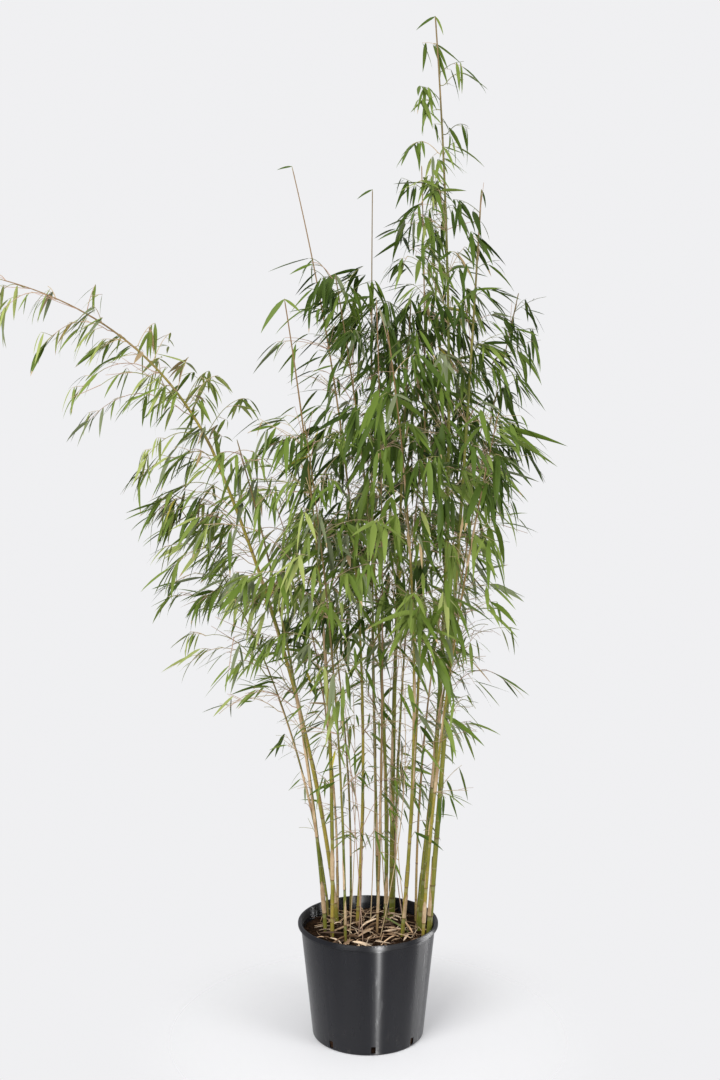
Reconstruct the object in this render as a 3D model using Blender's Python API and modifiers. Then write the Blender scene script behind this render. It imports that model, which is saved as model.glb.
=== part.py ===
"""A clump of bamboo in a round plastic pot.

Metres, +Z up. The origin is the middle of the pot's flat underside. X runs across the clump,
with the long arching culm on the -X side, and Y runs from its front (-Y) to its back (+Y).
Each culm is one tapering limb from a flat cut at the soil. Each mass of foliage is one solid:
a stem that carries on from a culm's end, or leaves its side, with twigs and leaves fused on.
"""

import math
import random
from collections import namedtuple

import bmesh
import bpy
import numpy as np
from mathutils import Matrix, Vector
from mathutils.bvhtree import BVHTree

# Pot: a turned shell with a rolled lip and a flat floor.
POT_HEIGHT = 0.259
POT_RIM_RADIUS = 0.157
POT_FOOT_RADIUS = 0.1245
POT_WALL = 0.0022
POT_FLOOR = 0.003
LIP_HEIGHT = 0.012
LIP_DEPTH = 0.0055
LIP_ROUND = 0.003
LIP_STEPS = 4
FOOT_ROUND = 0.004
FOOT_STEPS = 2
POT_STEPS = 36

# Drainage slots, low in the wall.
SLOT_COUNT = 8
SLOT_WIDTH = 0.010
SLOT_HEIGHT = 0.016
SLOT_FOOT = 0.005
SLOT_TURN = math.radians(5)
SLOT_CUTTER = 0.018

# Soil fills the pot to a little under its rim.
SOIL_TOP = 0.234

# Neighbouring solids stay this far apart where they meet.
GAP = 0.0003

# Points closer than this are one point, and edges sharper than this angle show.
MERGE = 0.00001
SHARP = math.radians(35)

# Culms taper from their width at the foot to this share of it at the tip.
CULM_SEGMENTS = 7
CULM_TIP_SHARE = 0.25
CULM_LEAST_RADIUS = 0.0012
# The arching culm's lower limb ends as wide as its upper limb starts.
BEND_SHARE = 0.64

Limb = namedtuple("Limb", "name tint width bare foot middle tip")

# Name, tint, width at the foot, share of the length below its top mass, then three points.
CULMS = (
    Limb("culm_01", "green", 0.0060, 0.74, (-0.090, 0.095), (-0.215, 0.145, 0.760), (-0.460, 0.210, 1.200)),
    Limb("culm_02", "green", 0.0090, 0.72, (-0.095, -0.005), (-0.155, -0.085, 0.795), (-0.265, -0.220, 1.340)),
    Limb("culm_04", "gold", 0.0090, 1.00, (-0.080, -0.035), (-0.095, -0.110, 0.935), (-0.165, -0.280, 1.615)),
    Limb("culm_05", "green", 0.0055, 0.66, (-0.040, 0.120), (-0.065, 0.205, 0.760), (-0.160, 0.330, 1.275)),
    Limb("culm_06", "green", 0.0065, 0.66, (-0.050, -0.075), (-0.070, -0.180, 0.820), (-0.125, -0.340, 1.380)),
    Limb("culm_07", "gold", 0.0080, 1.00, (-0.025, 0.030), (-0.030, 0.040, 1.080), (-0.165, 0.050, 1.920)),
    Limb("culm_08", "tan", 0.0060, 0.64, (-0.070, 0.085), (-0.115, 0.235, 0.780), (-0.265, 0.330, 1.280)),
    Limb("culm_09", "tan", 0.0060, 1.00, (0.020, -0.010), (0.030, -0.060, 0.930), (0.015, -0.180, 1.620)),
    Limb("culm_10", "green", 0.0080, 1.00, (0.025, 0.125), (0.010, 0.150, 1.060), (0.010, 0.180, 1.890)),
    Limb("culm_11", "green", 0.0090, 0.72, (0.040, 0.050), (0.020, 0.005, 0.960), (-0.070, -0.080, 1.680)),
    Limb("culm_12", "green", 0.0120, 0.74, (0.055, 0.085), (0.065, 0.095, 0.935), (0.095, 0.100, 1.640)),
    Limb("culm_13", "gold", 0.0090, 0.70, (0.075, -0.035), (0.095, -0.125, 0.905), (0.035, -0.300, 1.555)),
    Limb("culm_14", "gold", 0.0080, 0.76, (0.085, 0.095), (0.125, 0.130, 1.085), (0.120, 0.170, 1.940)),
    Limb("culm_15", "green", 0.0070, 0.66, (0.060, 0.120), (0.090, 0.245, 0.860), (0.155, 0.345, 1.510)),
    Limb("culm_16", "tan", 0.0060, 0.66, (0.110, 0.065), (0.155, 0.190, 0.825), (0.285, 0.330, 1.390)),
    Limb("culm_17", "green", 0.0060, 0.72, (0.110, 0.030), (0.200, 0.090, 0.950), (0.335, 0.120, 1.655)),
    Limb("culm_18", "green", 0.0120, 0.80, (0.115, 0.000), (0.175, 0.030, 1.225), (0.140, 0.000, 2.220)),
    Limb("culm_19", "gold", 0.0080, 0.68, (0.120, -0.060), (0.165, -0.175, 0.830), (0.250, -0.330, 1.400)),
    Limb("culm_20", "green", 0.0125, 0.76, (0.135, -0.025), (0.190, -0.040, 1.045), (0.235, -0.060, 1.855)),
)
# The long culm that arches over to one side is two limbs, parted at its bend.
ARCH_LOWER = Limb(
    "culm_03_lower", "gold", 0.0100, 1.00, (-0.070, 0.055), (-0.165, 0.020, 0.785), (-0.335, -0.040, 1.315)
)
ARCH_UPPER = Limb(
    "culm_03_upper", "gold", 0.0064, 0.40, None, (-0.515, -0.078, 1.548), (-0.785, -0.120, 1.672)
)

# Top masses with shorter twigs and leaves, as a share of the usual ones.
SLENDER = {"culm_18": 0.62, "culm_20": 0.62, "culm_14": 0.75, "culm_03_upper": 0.80}

# Masses at the side of a limb: limb, height of the root, heading in degrees (0 is +X, 90 is +Y),
# reach and rise of the stem.
SIDE_MASSES = (
    ("culm_01", 0.78, 185, 0.14, 0.10),
    ("culm_01", 0.93, 155, 0.13, 0.08),
    ("culm_02", 0.85, 215, 0.13, 0.08),
    ("culm_03_lower", 0.78, 205, 0.08, 0.06),
    ("culm_03_lower", 1.12, 170, 0.13, 0.08),
    ("culm_03_upper", 1.42, 200, 0.16, 0.03),
    ("culm_04", 0.98, 240, 0.13, 0.09),
    ("culm_04", 1.22, 205, 0.10, 0.08),
    ("culm_07", 1.12, 190, 0.11, 0.10),
    ("culm_10", 1.05, 110, 0.13, 0.10),
    ("culm_11", 0.92, 215, 0.11, 0.08),
    ("culm_12", 1.02, 150, 0.11, 0.10),
    ("culm_13", 0.86, 265, 0.12, 0.10),
    ("culm_14", 1.22, 75, 0.12, 0.12),
    ("culm_17", 0.86, 335, 0.08, 0.06),
    ("culm_17", 1.08, 350, 0.07, 0.06),
    ("culm_18", 1.38, 20, 0.11, 0.10),
    ("culm_18", 1.62, 215, 0.10, 0.10),
    ("culm_19", 0.93, 235, 0.12, 0.10),
    ("culm_20", 0.86, 290, 0.11, 0.08),
    ("culm_20", 1.15, 300, 0.12, 0.10),
)

# Growth of a mass. Its stem bows upwards, its twigs turn about it, its leaves hang from them.
# STEM_END is where the leaves of the stem's own end start. The first stretch of a twig or a leaf,
# its ROOT, lies in the wood that carries it, and leaves of one mass may cross at their necks.
SEED = 11
STEM_SEGMENTS = 3
STEM_RADIUS = 0.0034
STEM_TIP_RADIUS = 0.0028
STEM_COLLAR = 0.008
STEM_BOW = 0.25
STEM_TURNS = (0, 14, -14, 28, -28, 42, -42)
STEM_END = 0.80
TWIG_STEP = 0.050
TWIG_FIRST = 0.30
TWIG_LAST = 0.97
TWIG_LENGTH = (0.055, 0.095)
TWIG_ANGLE = math.radians(55)
TWIG_TURN = math.radians(137.5)
TWIG_TURN_SPREAD = 0.3
TWIG_ROOT = 0.010
TWIG_RADIUS = 0.0016
TWIG_TIP_RADIUS = 0.0015
TWIG_TRIES = 4
LEAF_PLACES = (0.95, 0.62, 0.80, 0.45)
LEAF_LENGTH = (0.120, 0.155)
LEAF_WIDTH_SHARE = 0.14
LEAF_WIDEST = 0.34
LEAF_BACK = 0.0022
LEAF_SUNK = 0.0004
LEAF_ROOT = 0.004
LEAF_NECK = 0.20
LEAF_ROLL = 0.6
LEAF_YAW = math.radians(75)
LEAF_DROP = (0.60, 2.00)
LEAF_FOLLOW = 0.40
LEAF_TRIES = 14
# Solids of different masses, and masses and culms, keep this far apart.
CLEAR = 0.001
# Leaves of one mass keep this share of their width apart.
SIBLING_SHARE = 0.7

# The crown's furthest tips.
CROWN_LOW = Vector((-0.83, -0.42, 0.42))
CROWN_HIGH = Vector((0.40, 0.42, 2.22))

# Colour, roughness and metallic value of each material.
FINISHES = {
    "pot": ((0.018, 0.019, 0.021), 0.38, 0.0),
    "soil": ((0.060, 0.040, 0.026), 0.95, 0.0),
    "green": ((0.235, 0.300, 0.065), 0.45, 0.0),
    "gold": ((0.480, 0.400, 0.110), 0.45, 0.0),
    "tan": ((0.420, 0.310, 0.170), 0.60, 0.0),
    "leaf": ((0.115, 0.235, 0.040), 0.50, 0.0),
}


def clear_scene():
    for obj in list(bpy.data.objects):
        bpy.data.objects.remove(obj, do_unlink=True)


def new_collection(name):
    collection = bpy.data.collections.new(name)
    bpy.context.scene.collection.children.link(collection)
    return collection


def material(name, finish):
    colour, roughness, metallic = FINISHES[finish]
    made = bpy.data.materials.new(name)
    made.use_nodes = True
    shader = made.node_tree.nodes["Principled BSDF"]
    shader.inputs["Base Color"].default_value = (*colour, 1.0)
    shader.inputs["Roughness"].default_value = roughness
    shader.inputs["Metallic"].default_value = metallic
    return made


def add_object(name, mesh, collection, finish=None):
    obj = bpy.data.objects.new(name, mesh)
    collection.objects.link(obj)
    if finish:
        mesh.materials.clear()
        mesh.materials.append(material(name, finish))
    return obj


def mesh_from(bm, name):
    mesh = bpy.data.meshes.new(name)
    bm.to_mesh(mesh)
    bm.free()
    return mesh


def smooth(mesh):
    mesh.shade_smooth()
    mesh.set_sharp_from_angle(angle=SHARP)


def evaluated_mesh(obj):
    """The mesh that the object's curve or modifiers give, as a mesh of its own."""
    graph = bpy.context.evaluated_depsgraph_get()
    return bpy.data.meshes.new_from_object(obj.evaluated_get(graph))


# Pot and soil.


def turned(name, profile, collection, finish):
    """The profile's (radius, height) points turned about Z. They run down its outer side."""
    bm = bmesh.new()
    points = [bm.verts.new((radius, 0.0, height)) for radius, height in profile]
    for one, other in zip(points, points[1:]):
        bm.edges.new((one, other))
    obj = add_object(name, mesh_from(bm, name), collection, finish)
    screw = obj.modifiers.new("turn", "SCREW")
    screw.axis = "Z"
    screw.steps = POT_STEPS
    screw.render_steps = POT_STEPS
    screw.use_merge_vertices = True
    screw.merge_threshold = MERGE
    screw.use_smooth_shade = True
    return obj


def wall_radius(height):
    """Outer radius of the pot's straight wall at a height, under the lip."""
    top = POT_RIM_RADIUS - LIP_DEPTH
    return POT_FOOT_RADIUS + (top - POT_FOOT_RADIUS) * height / POT_HEIGHT


def arc(centre, across, up, start, end, steps):
    """Points round part of an ellipse, as (radius, height), between two angles in degrees."""
    angles = [math.radians(start + (end - start) * number / steps) for number in range(steps + 1)]
    return [(centre[0] + across * math.cos(a), centre[1] + up * math.sin(a)) for a in angles]


def build_pot(collection, cutters):
    lip_foot = POT_HEIGHT - LIP_HEIGHT
    lip_top = POT_HEIGHT - LIP_ROUND
    inner = wall_radius(lip_top) - POT_WALL
    lip_middle = (inner + POT_RIM_RADIUS) / 2
    profile = [(0.0, POT_FLOOR), (wall_radius(POT_FLOOR) - POT_WALL, POT_FLOOR)]
    profile += arc((lip_middle, lip_top), lip_middle - inner, LIP_ROUND, 180, 0, LIP_STEPS)
    profile += [(POT_RIM_RADIUS, lip_foot), (wall_radius(lip_foot), lip_foot)]
    foot = (POT_FOOT_RADIUS - FOOT_ROUND, FOOT_ROUND)
    profile += arc(foot, FOOT_ROUND, FOOT_ROUND, 0, -90, FOOT_STEPS)
    profile += [(0.0, 0.0)]
    pot = turned("pot", profile, collection, "pot")
    for number in range(SLOT_COUNT):
        angle = SLOT_TURN + math.tau * number / SLOT_COUNT - math.pi / 2
        bm = bmesh.new()
        bmesh.ops.create_cube(bm, size=1.0)
        size = Matrix.Diagonal((SLOT_CUTTER, SLOT_WIDTH, SLOT_HEIGHT, 1.0))
        bmesh.ops.transform(bm, matrix=size, verts=bm.verts)
        slot = add_object(f"slot_cutter_{number + 1}", mesh_from(bm, "slot"), cutters)
        out = Vector((math.cos(angle), math.sin(angle), 0.0))
        slot.location = out * POT_FOOT_RADIUS
        slot.location.z = SLOT_FOOT + SLOT_HEIGHT / 2
        slot.rotation_euler.z = angle
        slot.hide_render = True
        slot.display_type = "WIRE"
    cut = pot.modifiers.new("slots", "BOOLEAN")
    cut.operand_type = "COLLECTION"
    cut.collection = cutters
    cut.operation = "DIFFERENCE"
    cut.solver = "EXACT"
    return pot


def build_soil(collection):
    foot = POT_FLOOR + GAP
    inside = -POT_WALL - GAP * 1.5
    profile = (
        (0.0, SOIL_TOP),
        (wall_radius(SOIL_TOP) + inside, SOIL_TOP),
        (wall_radius(foot) + inside, foot),
        (0.0, foot),
    )
    return turned("soil", profile, collection, "soil")


# Limbs.


def point_on(limb, share):
    """A point on the parabola from the limb's foot, through its middle, to its tip."""
    foot = limb.foot * ((1 - share) * (1 - 2 * share))
    middle = limb.middle * (4 * share * (1 - share))
    tip = limb.tip * (share * (2 * share - 1))
    return foot + middle + tip


def direction_at(limb, share, step=0.01):
    low = max(0.0, share - step)
    high = min(1.0, share + step)
    return (point_on(limb, high) - point_on(limb, low)).normalized()


def radius_at(limb, share):
    tip_share = BEND_SHARE if limb.name == ARCH_LOWER.name else CULM_TIP_SHARE
    radius = limb.width / 2 * (1 - (1 - tip_share) * share)
    return max(radius, CULM_LEAST_RADIUS)


def tube_mesh(points, radii, sides):
    """A closed tube through the points, with a radius at each, of three or six sides."""
    curve = bpy.data.curves.new("tube", "CURVE")
    curve.dimensions = "3D"
    curve.use_fill_caps = True
    guide = None
    if sides == 3:
        outline = bpy.data.curves.new("three_sides", "CURVE")
        ring = outline.splines.new("POLY")
        ring.points.add(sides - 1)
        for number, point in enumerate(ring.points):
            angle = math.tau * number / sides
            point.co = (math.cos(angle), math.sin(angle), 0.0, 1.0)
        ring.use_cyclic_u = True
        guide = bpy.data.objects.new("three_sides", outline)
        curve.bevel_mode = "OBJECT"
        curve.bevel_object = guide
    else:
        curve.bevel_depth = 1.0
        curve.bevel_resolution = 1
    spline = curve.splines.new("POLY")
    spline.points.add(len(points) - 1)
    for place, position, radius in zip(spline.points, points, radii):
        place.co = (*position, 1.0)
        place.radius = radius
    obj = bpy.data.objects.new("tube", curve)
    bpy.context.scene.collection.objects.link(obj)
    bpy.context.view_layer.update()
    mesh = evaluated_mesh(obj)
    bpy.data.objects.remove(obj, do_unlink=True)
    if guide:
        bpy.data.objects.remove(guide, do_unlink=True)
    bm = bmesh.new()
    bm.from_mesh(mesh)
    bmesh.ops.remove_doubles(bm, verts=bm.verts, dist=MERGE)
    bmesh.ops.recalc_face_normals(bm, faces=bm.faces)
    bm.to_mesh(mesh)
    bm.free()
    return mesh


def limb_shares(limb):
    return [limb.bare * number / CULM_SEGMENTS for number in range(CULM_SEGMENTS + 1)]


def build_limb(limb, collection):
    shares = limb_shares(limb)
    points = [point_on(limb, share) for share in shares]
    mesh = tube_mesh(points, [radius_at(limb, share) for share in shares], 6)
    if limb.name != ARCH_UPPER.name:
        # The foot is a flat cut, level with the soil.
        for vertex in mesh.vertices:
            if vertex.co.z < limb.foot.z + limb.width / 2:
                vertex.co.z = limb.foot.z
    smooth(mesh)
    return add_object(limb.name, mesh, collection, limb.tint)


def read_limbs():
    """Every limb by name, with its three points as vectors."""
    limbs = {}
    for row in CULMS + (ARCH_LOWER, ARCH_UPPER):
        foot = row.foot and Vector((*row.foot, SOIL_TOP + GAP))
        limbs[row.name] = row._replace(foot=foot, middle=Vector(row.middle), tip=Vector(row.tip))
    lower = limbs[ARCH_LOWER.name]
    start = lower.tip + direction_at(lower, 1.0) * GAP * 2
    limbs[ARCH_UPPER.name] = limbs[ARCH_UPPER.name]._replace(foot=start)
    return limbs


# Room between the solids.


class Room:
    """The straight pieces placed so far, each with a radius and the name of its owner."""

    def __init__(self):
        self.starts = []
        self.ends = []
        self.radii = []
        self.owners = []

    def add(self, start, end, radius, owner):
        self.starts.append(tuple(start))
        self.ends.append(tuple(end))
        self.radii.append(radius)
        self.owners.append(owner)

    def gaps(self, start, end):
        """Distance from the piece start-end to the middle line of each piece placed."""
        starts = np.array(self.starts).reshape(-1, 3)
        along = np.array(end) - np.array(start)
        others = np.array(self.ends).reshape(-1, 3) - starts
        between = np.array(start) - starts
        a = along @ along
        e = (others * others).sum(axis=1)
        b = others @ along
        c = between @ along
        f = (others * between).sum(axis=1)
        spread = np.maximum(a * e - b * b, 1e-12)
        s = np.clip((b * f - c * e) / spread, 0.0, 1.0)
        t = np.clip((b * s + f) / e, 0.0, 1.0)
        s = np.clip((b * t - c) / a, 0.0, 1.0)
        apart = between + s[:, None] * along - t[:, None] * others
        return np.sqrt((apart * apart).sum(axis=1))

    def clear(self, start, end, radius, owner, but=()):
        """True if the piece touches nothing that another owner placed."""
        gaps = self.gaps(start, end) - np.array(self.radii) - radius
        others = np.array([name != owner and name not in but for name in self.owners], dtype=bool)
        return not (gaps[others] < CLEAR).any()

    def alone(self, start, end, width, owner):
        """True if the piece keeps clear of the leaves of its own mass."""
        gaps = self.gaps(start, end)
        mine = np.array([name == owner for name in self.owners], dtype=bool)
        return not (gaps[mine] < width).any()


# What grows keeps to the room left by all solids, by the stems and by the mass's own leaves.
Crown = namedtuple("Crown", "solids stems leaves")


# Masses of foliage.


def leaf_mesh(length, width):
    """A blade along +Y, pointed at both ends, with a flat underside and a ridge on its back."""
    widest = length * LEAF_WIDEST
    bm = bmesh.new()
    for corner in (
        (0.0, 0.0, 0.0),
        (-width / 2, widest, 0.0),
        (width / 2, widest, 0.0),
        (0.0, widest, LEAF_BACK),
        (0.0, length, 0.0),
    ):
        bm.verts.new(corner)
    bmesh.ops.convex_hull(bm, input=bm.verts)
    bmesh.ops.recalc_face_normals(bm, faces=bm.faces)
    return mesh_from(bm, "leaf")


def placed_leaf(root, direction, length, roll):
    """The leaf's mesh, its foot a little behind the root and its back turned up."""
    mesh = leaf_mesh(length, length * LEAF_WIDTH_SHARE)
    side = direction.cross(Vector((0, 0, 1))).normalized()
    up = side.cross(direction)
    turn = Matrix((side, direction, up)).transposed().to_4x4()
    place = Matrix.Translation(root - direction * LEAF_SUNK)
    mesh.transform(place @ turn @ Matrix.Rotation(roll, 4, "Y"))
    return mesh


def twig_mesh(start, end):
    along = end - start
    bm = bmesh.new()
    bmesh.ops.create_cone(
        bm,
        cap_ends=True,
        segments=3,
        radius1=TWIG_RADIUS,
        radius2=TWIG_TIP_RADIUS,
        depth=along.length,
        matrix=Matrix.Translation((start + end) / 2) @ along.to_track_quat("Z", "Y").to_matrix().to_4x4(),
    )
    return mesh_from(bm, "twig")


class Mass:
    def __init__(self, name, points, radii, size=1.0):
        self.name = name
        self.size = size
        self.points = points
        self.radii = radii
        self.twigs = []
        self.leaves = []

    def length(self):
        return sum((b - a).length for a, b in zip(self.points, self.points[1:]))

    def at(self, share):
        """Point and direction at a share of the stem's length."""
        left = share * self.length()
        for start, end in zip(self.points, self.points[1:]):
            step = (end - start).length
            if left <= step or end is self.points[-1]:
                return start.lerp(end, min(left / step, 1.0)), (end - start) / step
            left -= step


def stem_radii(count, first):
    return [first + (STEM_TIP_RADIUS - first) * number / (count - 1) for number in range(count)]


def top_mass(limb):
    """The mass whose stem carries on from the limb's end, along the same curve."""
    start = point_on(limb, limb.bare) + direction_at(limb, limb.bare) * GAP
    shares = [limb.bare + (1 - limb.bare) * (n + 1) / STEM_SEGMENTS for n in range(STEM_SEGMENTS)]
    points = [start] + [point_on(limb, share) for share in shares]
    first = max(radius_at(limb, limb.bare), STEM_RADIUS)
    name = f"leaves_{limb.name[5:]}_top"
    return Mass(name, points, stem_radii(len(points), first), SLENDER.get(limb.name, 1.0))


def share_at(limb, height):
    """The share of the limb's length at which it reaches a height."""
    low, high = 0.0, 1.0
    while high - low > MERGE:
        middle = (low + high) / 2
        if point_on(limb, middle).z < height:
            low = middle
        else:
            high = middle
    return low


def side_mass(name, limb, height, heading, reach, rise, tree, crown):
    """The mass whose stem starts at the limb's side, and turns aside from what is in its way."""
    middle = point_on(limb, share_at(limb, height))
    for turn in STEM_TURNS:
        angle = math.radians(heading + turn)
        out = Vector((math.cos(angle), math.sin(angle), 0.0))
        hit, normal, _, _ = tree.ray_cast(middle + out * limb.width * 2, -out)
        start = hit + normal * GAP
        collar = start + normal * STEM_COLLAR
        end = collar + out * reach + Vector((0, 0, rise))
        bow = Vector((0, 0, reach * STEM_BOW))
        points = [start, collar, collar.lerp(end, 0.5) + bow, end]
        pairs = list(zip(points, points[1:]))
        if all(crown.solids.clear(a, b, STEM_RADIUS, name, (limb.name,)) for a, b in pairs):
            return Mass(name, points, stem_radii(len(points), STEM_RADIUS))
    raise ValueError(f"{name} finds no way past the other stems")


def grow_twigs(mass, crown, rng):
    count = max(3, round(mass.length() * (TWIG_LAST - TWIG_FIRST) / TWIG_STEP))
    turn = rng.uniform(0, math.tau)
    for number in range(count):
        share = TWIG_FIRST + (TWIG_LAST - TWIG_FIRST) * number / (count - 1)
        root, along = mass.at(share)
        side = along.orthogonal().normalized()
        for _ in range(TWIG_TRIES):
            turn += TWIG_TURN + rng.uniform(-TWIG_TURN_SPREAD, TWIG_TURN_SPREAD)
            out = Matrix.Rotation(turn, 3, along) @ side
            direction = along * math.cos(TWIG_ANGLE) + out * math.sin(TWIG_ANGLE)
            end = root + direction * rng.uniform(*TWIG_LENGTH) * mass.size
            free = crown.solids.clear(root + direction * TWIG_ROOT, end, TWIG_RADIUS, mass.name)
            if free and inside_crown(end) and nearest_stem(end, mass.name, crown):
                mass.twigs.append((root, end))
                crown.solids.add(root, end, TWIG_RADIUS, mass.name)
                break


def inside_crown(point):
    return all(low <= x <= high for low, x, high in zip(CROWN_LOW, point, CROWN_HIGH))


def nearest_stem(point, owner, crown):
    """True if the point lies nearer to its own mass's stem than to any other's."""
    gaps = crown.stems.gaps(point, point + Vector((0, 0, MERGE)))
    return crown.stems.owners[int(gaps.argmin())] == owner


def grow_leaf(mass, start, end, share, crown, rng):
    root = start.lerp(end, share)
    along = (end - start).normalized()
    heading = math.atan2(along.y, along.x)
    for _ in range(LEAF_TRIES):
        angle = heading + rng.uniform(-LEAF_YAW, LEAF_YAW)
        direction = Vector((math.cos(angle), math.sin(angle), -rng.uniform(*LEAF_DROP)))
        direction = (direction.normalized() + along * LEAF_FOLLOW).normalized()
        length = rng.uniform(*LEAF_LENGTH) * mass.size
        roll = rng.uniform(-LEAF_ROLL, LEAF_ROLL)
        neck = root + direction * length * LEAF_NECK
        tip = root + direction * length
        half = length * LEAF_WIDTH_SHARE / 2
        if not crown.solids.clear(root + direction * LEAF_ROOT, tip, half, mass.name):
            continue
        if not inside_crown(tip) or not nearest_stem(root.lerp(tip, 0.5), mass.name, crown):
            continue
        if not crown.leaves.alone(neck, tip, half * 2 * SIBLING_SHARE, mass.name):
            continue
        mass.leaves.append(placed_leaf(root, direction, length, roll))
        crown.solids.add(root, tip, half, mass.name)
        crown.leaves.add(neck, tip, half, mass.name)
        return


def grow_leaves(masses, crown, rng):
    """Each mass takes its turn at each place, so that none crowds out the next."""
    for share in LEAF_PLACES:
        for mass in masses:
            stem_end = (mass.at(STEM_END)[0], mass.points[-1])
            for start, end in [stem_end] + mass.twigs:
                grow_leaf(mass, start, end, share, crown, rng)


def united(name, meshes, solver):
    """One mesh that joins all of these by a Boolean union."""
    pieces = bpy.data.collections.new("pieces")
    bpy.context.scene.collection.children.link(pieces)
    first = add_object(name, meshes[0], bpy.context.scene.collection)
    for number, mesh in enumerate(meshes[1:]):
        add_object(f"piece_{number}", mesh, pieces)
    join = first.modifiers.new("join", "BOOLEAN")
    join.operand_type = "COLLECTION"
    join.collection = pieces
    join.operation = "UNION"
    join.solver = solver
    bpy.context.view_layer.update()
    mesh = evaluated_mesh(first)
    for obj in list(pieces.objects) + [first]:
        bpy.data.objects.remove(obj, do_unlink=True)
    bpy.data.collections.remove(pieces)
    return mesh


def bodies_of(bm):
    """The faces of each body, as lists joined across shared edges, the largest last."""
    left = set(bm.faces)
    bodies = []
    while left:
        body = [left.pop()]
        for face in body:
            for edge in face.edges:
                for other in edge.link_faces:
                    if other in left:
                        left.discard(other)
                        body.append(other)
        bodies.append(body)
    return sorted(bodies, key=len)


def tidied(mesh):
    """Keeps the mesh's largest body, and says whether it is closed."""
    bm = bmesh.new()
    bm.from_mesh(mesh)
    for body in bodies_of(bm)[:-1]:
        bmesh.ops.delete(bm, geom=body, context="FACES")
    closed = all(edge.is_manifold for edge in bm.edges) and len(bm.faces) > 0
    bm.to_mesh(mesh)
    bm.free()
    return closed


def build_mass(mass, collection):
    stem = tube_mesh(mass.points, mass.radii, 3)
    meshes = [stem] + [twig_mesh(*twig) for twig in mass.twigs] + mass.leaves
    for solver in ("EXACT", "MANIFOLD"):
        mesh = united(mass.name, [piece.copy() for piece in meshes], solver)
        if tidied(mesh):
            break
        print(mass.name, "isn't closed by", solver)
    return add_object(mass.name, mesh, collection, "leaf")


def place_stem(mass, crown):
    for start, end, radius in zip(mass.points, mass.points[1:], mass.radii):
        crown.solids.add(start, end, radius, mass.name)
        crown.stems.add(start, end, radius, mass.name)


def grow(limbs, solids):
    """Every mass with its stem, twigs and leaves, none of which touch a culm or another mass."""
    rng = random.Random(SEED)
    crown = Crown(Room(), Room(), Room())
    for limb in limbs.values():
        for low, high in zip(limb_shares(limb), limb_shares(limb)[1:]):
            ends = (point_on(limb, low), point_on(limb, high))
            crown.solids.add(*ends, radius_at(limb, low), limb.name)
    masses = [top_mass(limb) for limb in limbs.values() if limb.bare < 1.0]
    for mass in masses:
        place_stem(mass, crown)
    counts = {}
    for limb_name, height, heading, reach, rise in SIDE_MASSES:
        counts[limb_name] = counts.get(limb_name, 0) + 1
        name = f"leaves_{limb_name[5:]}_side_{counts[limb_name]}"
        mesh = solids[limb_name].data
        tree = BVHTree.FromPolygons([v.co for v in mesh.vertices], [p.vertices for p in mesh.polygons])
        mass = side_mass(name, limbs[limb_name], height, heading, reach, rise, tree, crown)
        place_stem(mass, crown)
        masses.append(mass)
    for mass in masses:
        grow_twigs(mass, crown, rng)
    grow_leaves(masses, crown, rng)
    return masses


def main():
    clear_scene()
    parts = new_collection("potted_bamboo")
    cutters = new_collection("cutters")
    cutters.hide_render = True
    build_pot(parts, cutters)
    build_soil(parts)
    limbs = read_limbs()
    solids = {name: build_limb(limb, parts) for name, limb in limbs.items()}
    bpy.context.view_layer.update()
    masses = grow(limbs, solids)
    for mass in masses:
        build_mass(mass, parts)
    print(len(masses), "masses,", sum(len(mass.leaves) for mass in masses), "leaves")


main()
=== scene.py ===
"""The looks of a clump of bamboo in a round plastic pot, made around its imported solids.

Metres, +Z up. The origin is the middle of the pot's flat underside, and -Y is the front.
Each culm grows again along its own curve, with its joints, sheaths, twigs and sprays of leaves.
"""

import math
import random
from collections import namedtuple

import bmesh
import bpy
import numpy as np
from mathutils import Matrix, Vector


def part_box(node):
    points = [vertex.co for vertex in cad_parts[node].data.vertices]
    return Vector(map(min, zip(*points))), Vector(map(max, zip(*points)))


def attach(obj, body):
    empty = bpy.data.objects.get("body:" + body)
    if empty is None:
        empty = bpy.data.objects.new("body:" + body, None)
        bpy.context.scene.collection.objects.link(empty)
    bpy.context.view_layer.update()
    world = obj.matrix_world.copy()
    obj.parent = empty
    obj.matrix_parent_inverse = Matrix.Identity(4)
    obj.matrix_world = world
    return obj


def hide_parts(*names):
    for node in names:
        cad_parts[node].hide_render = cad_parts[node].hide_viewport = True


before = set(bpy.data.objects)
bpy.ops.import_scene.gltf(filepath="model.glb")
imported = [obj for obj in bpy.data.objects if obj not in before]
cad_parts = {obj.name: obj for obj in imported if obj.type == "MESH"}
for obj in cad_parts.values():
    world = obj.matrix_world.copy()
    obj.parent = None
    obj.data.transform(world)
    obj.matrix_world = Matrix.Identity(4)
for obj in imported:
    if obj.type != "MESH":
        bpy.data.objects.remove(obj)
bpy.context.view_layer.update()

# Pot. Its height and rim radius come from the frame's own solids.
POT_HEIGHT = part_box("pot")[1].z
POT_RIM_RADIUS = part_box("pot")[1].x
POT_FOOT_RADIUS = 0.1245
POT_WALL = 0.0022
POT_FLOOR = 0.003
LIP_HEIGHT = 0.012
LIP_DEPTH = 0.0055
POT_SIDES = 144
# Rounding of the pot's edges: on top of the lip, under it and at the foot.
LIP_ROUND = 0.0037
UNDER_LIP_ROUND = 0.0048
FOOT_ROUND = 0.004

# Drainage slots, low in the wall.
SLOT_COUNT = 8
SLOT_SIZE = (0.018, 0.010, 0.016)
SLOT_MIDDLE = 0.013
SLOT_TURN = math.radians(5)

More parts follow.
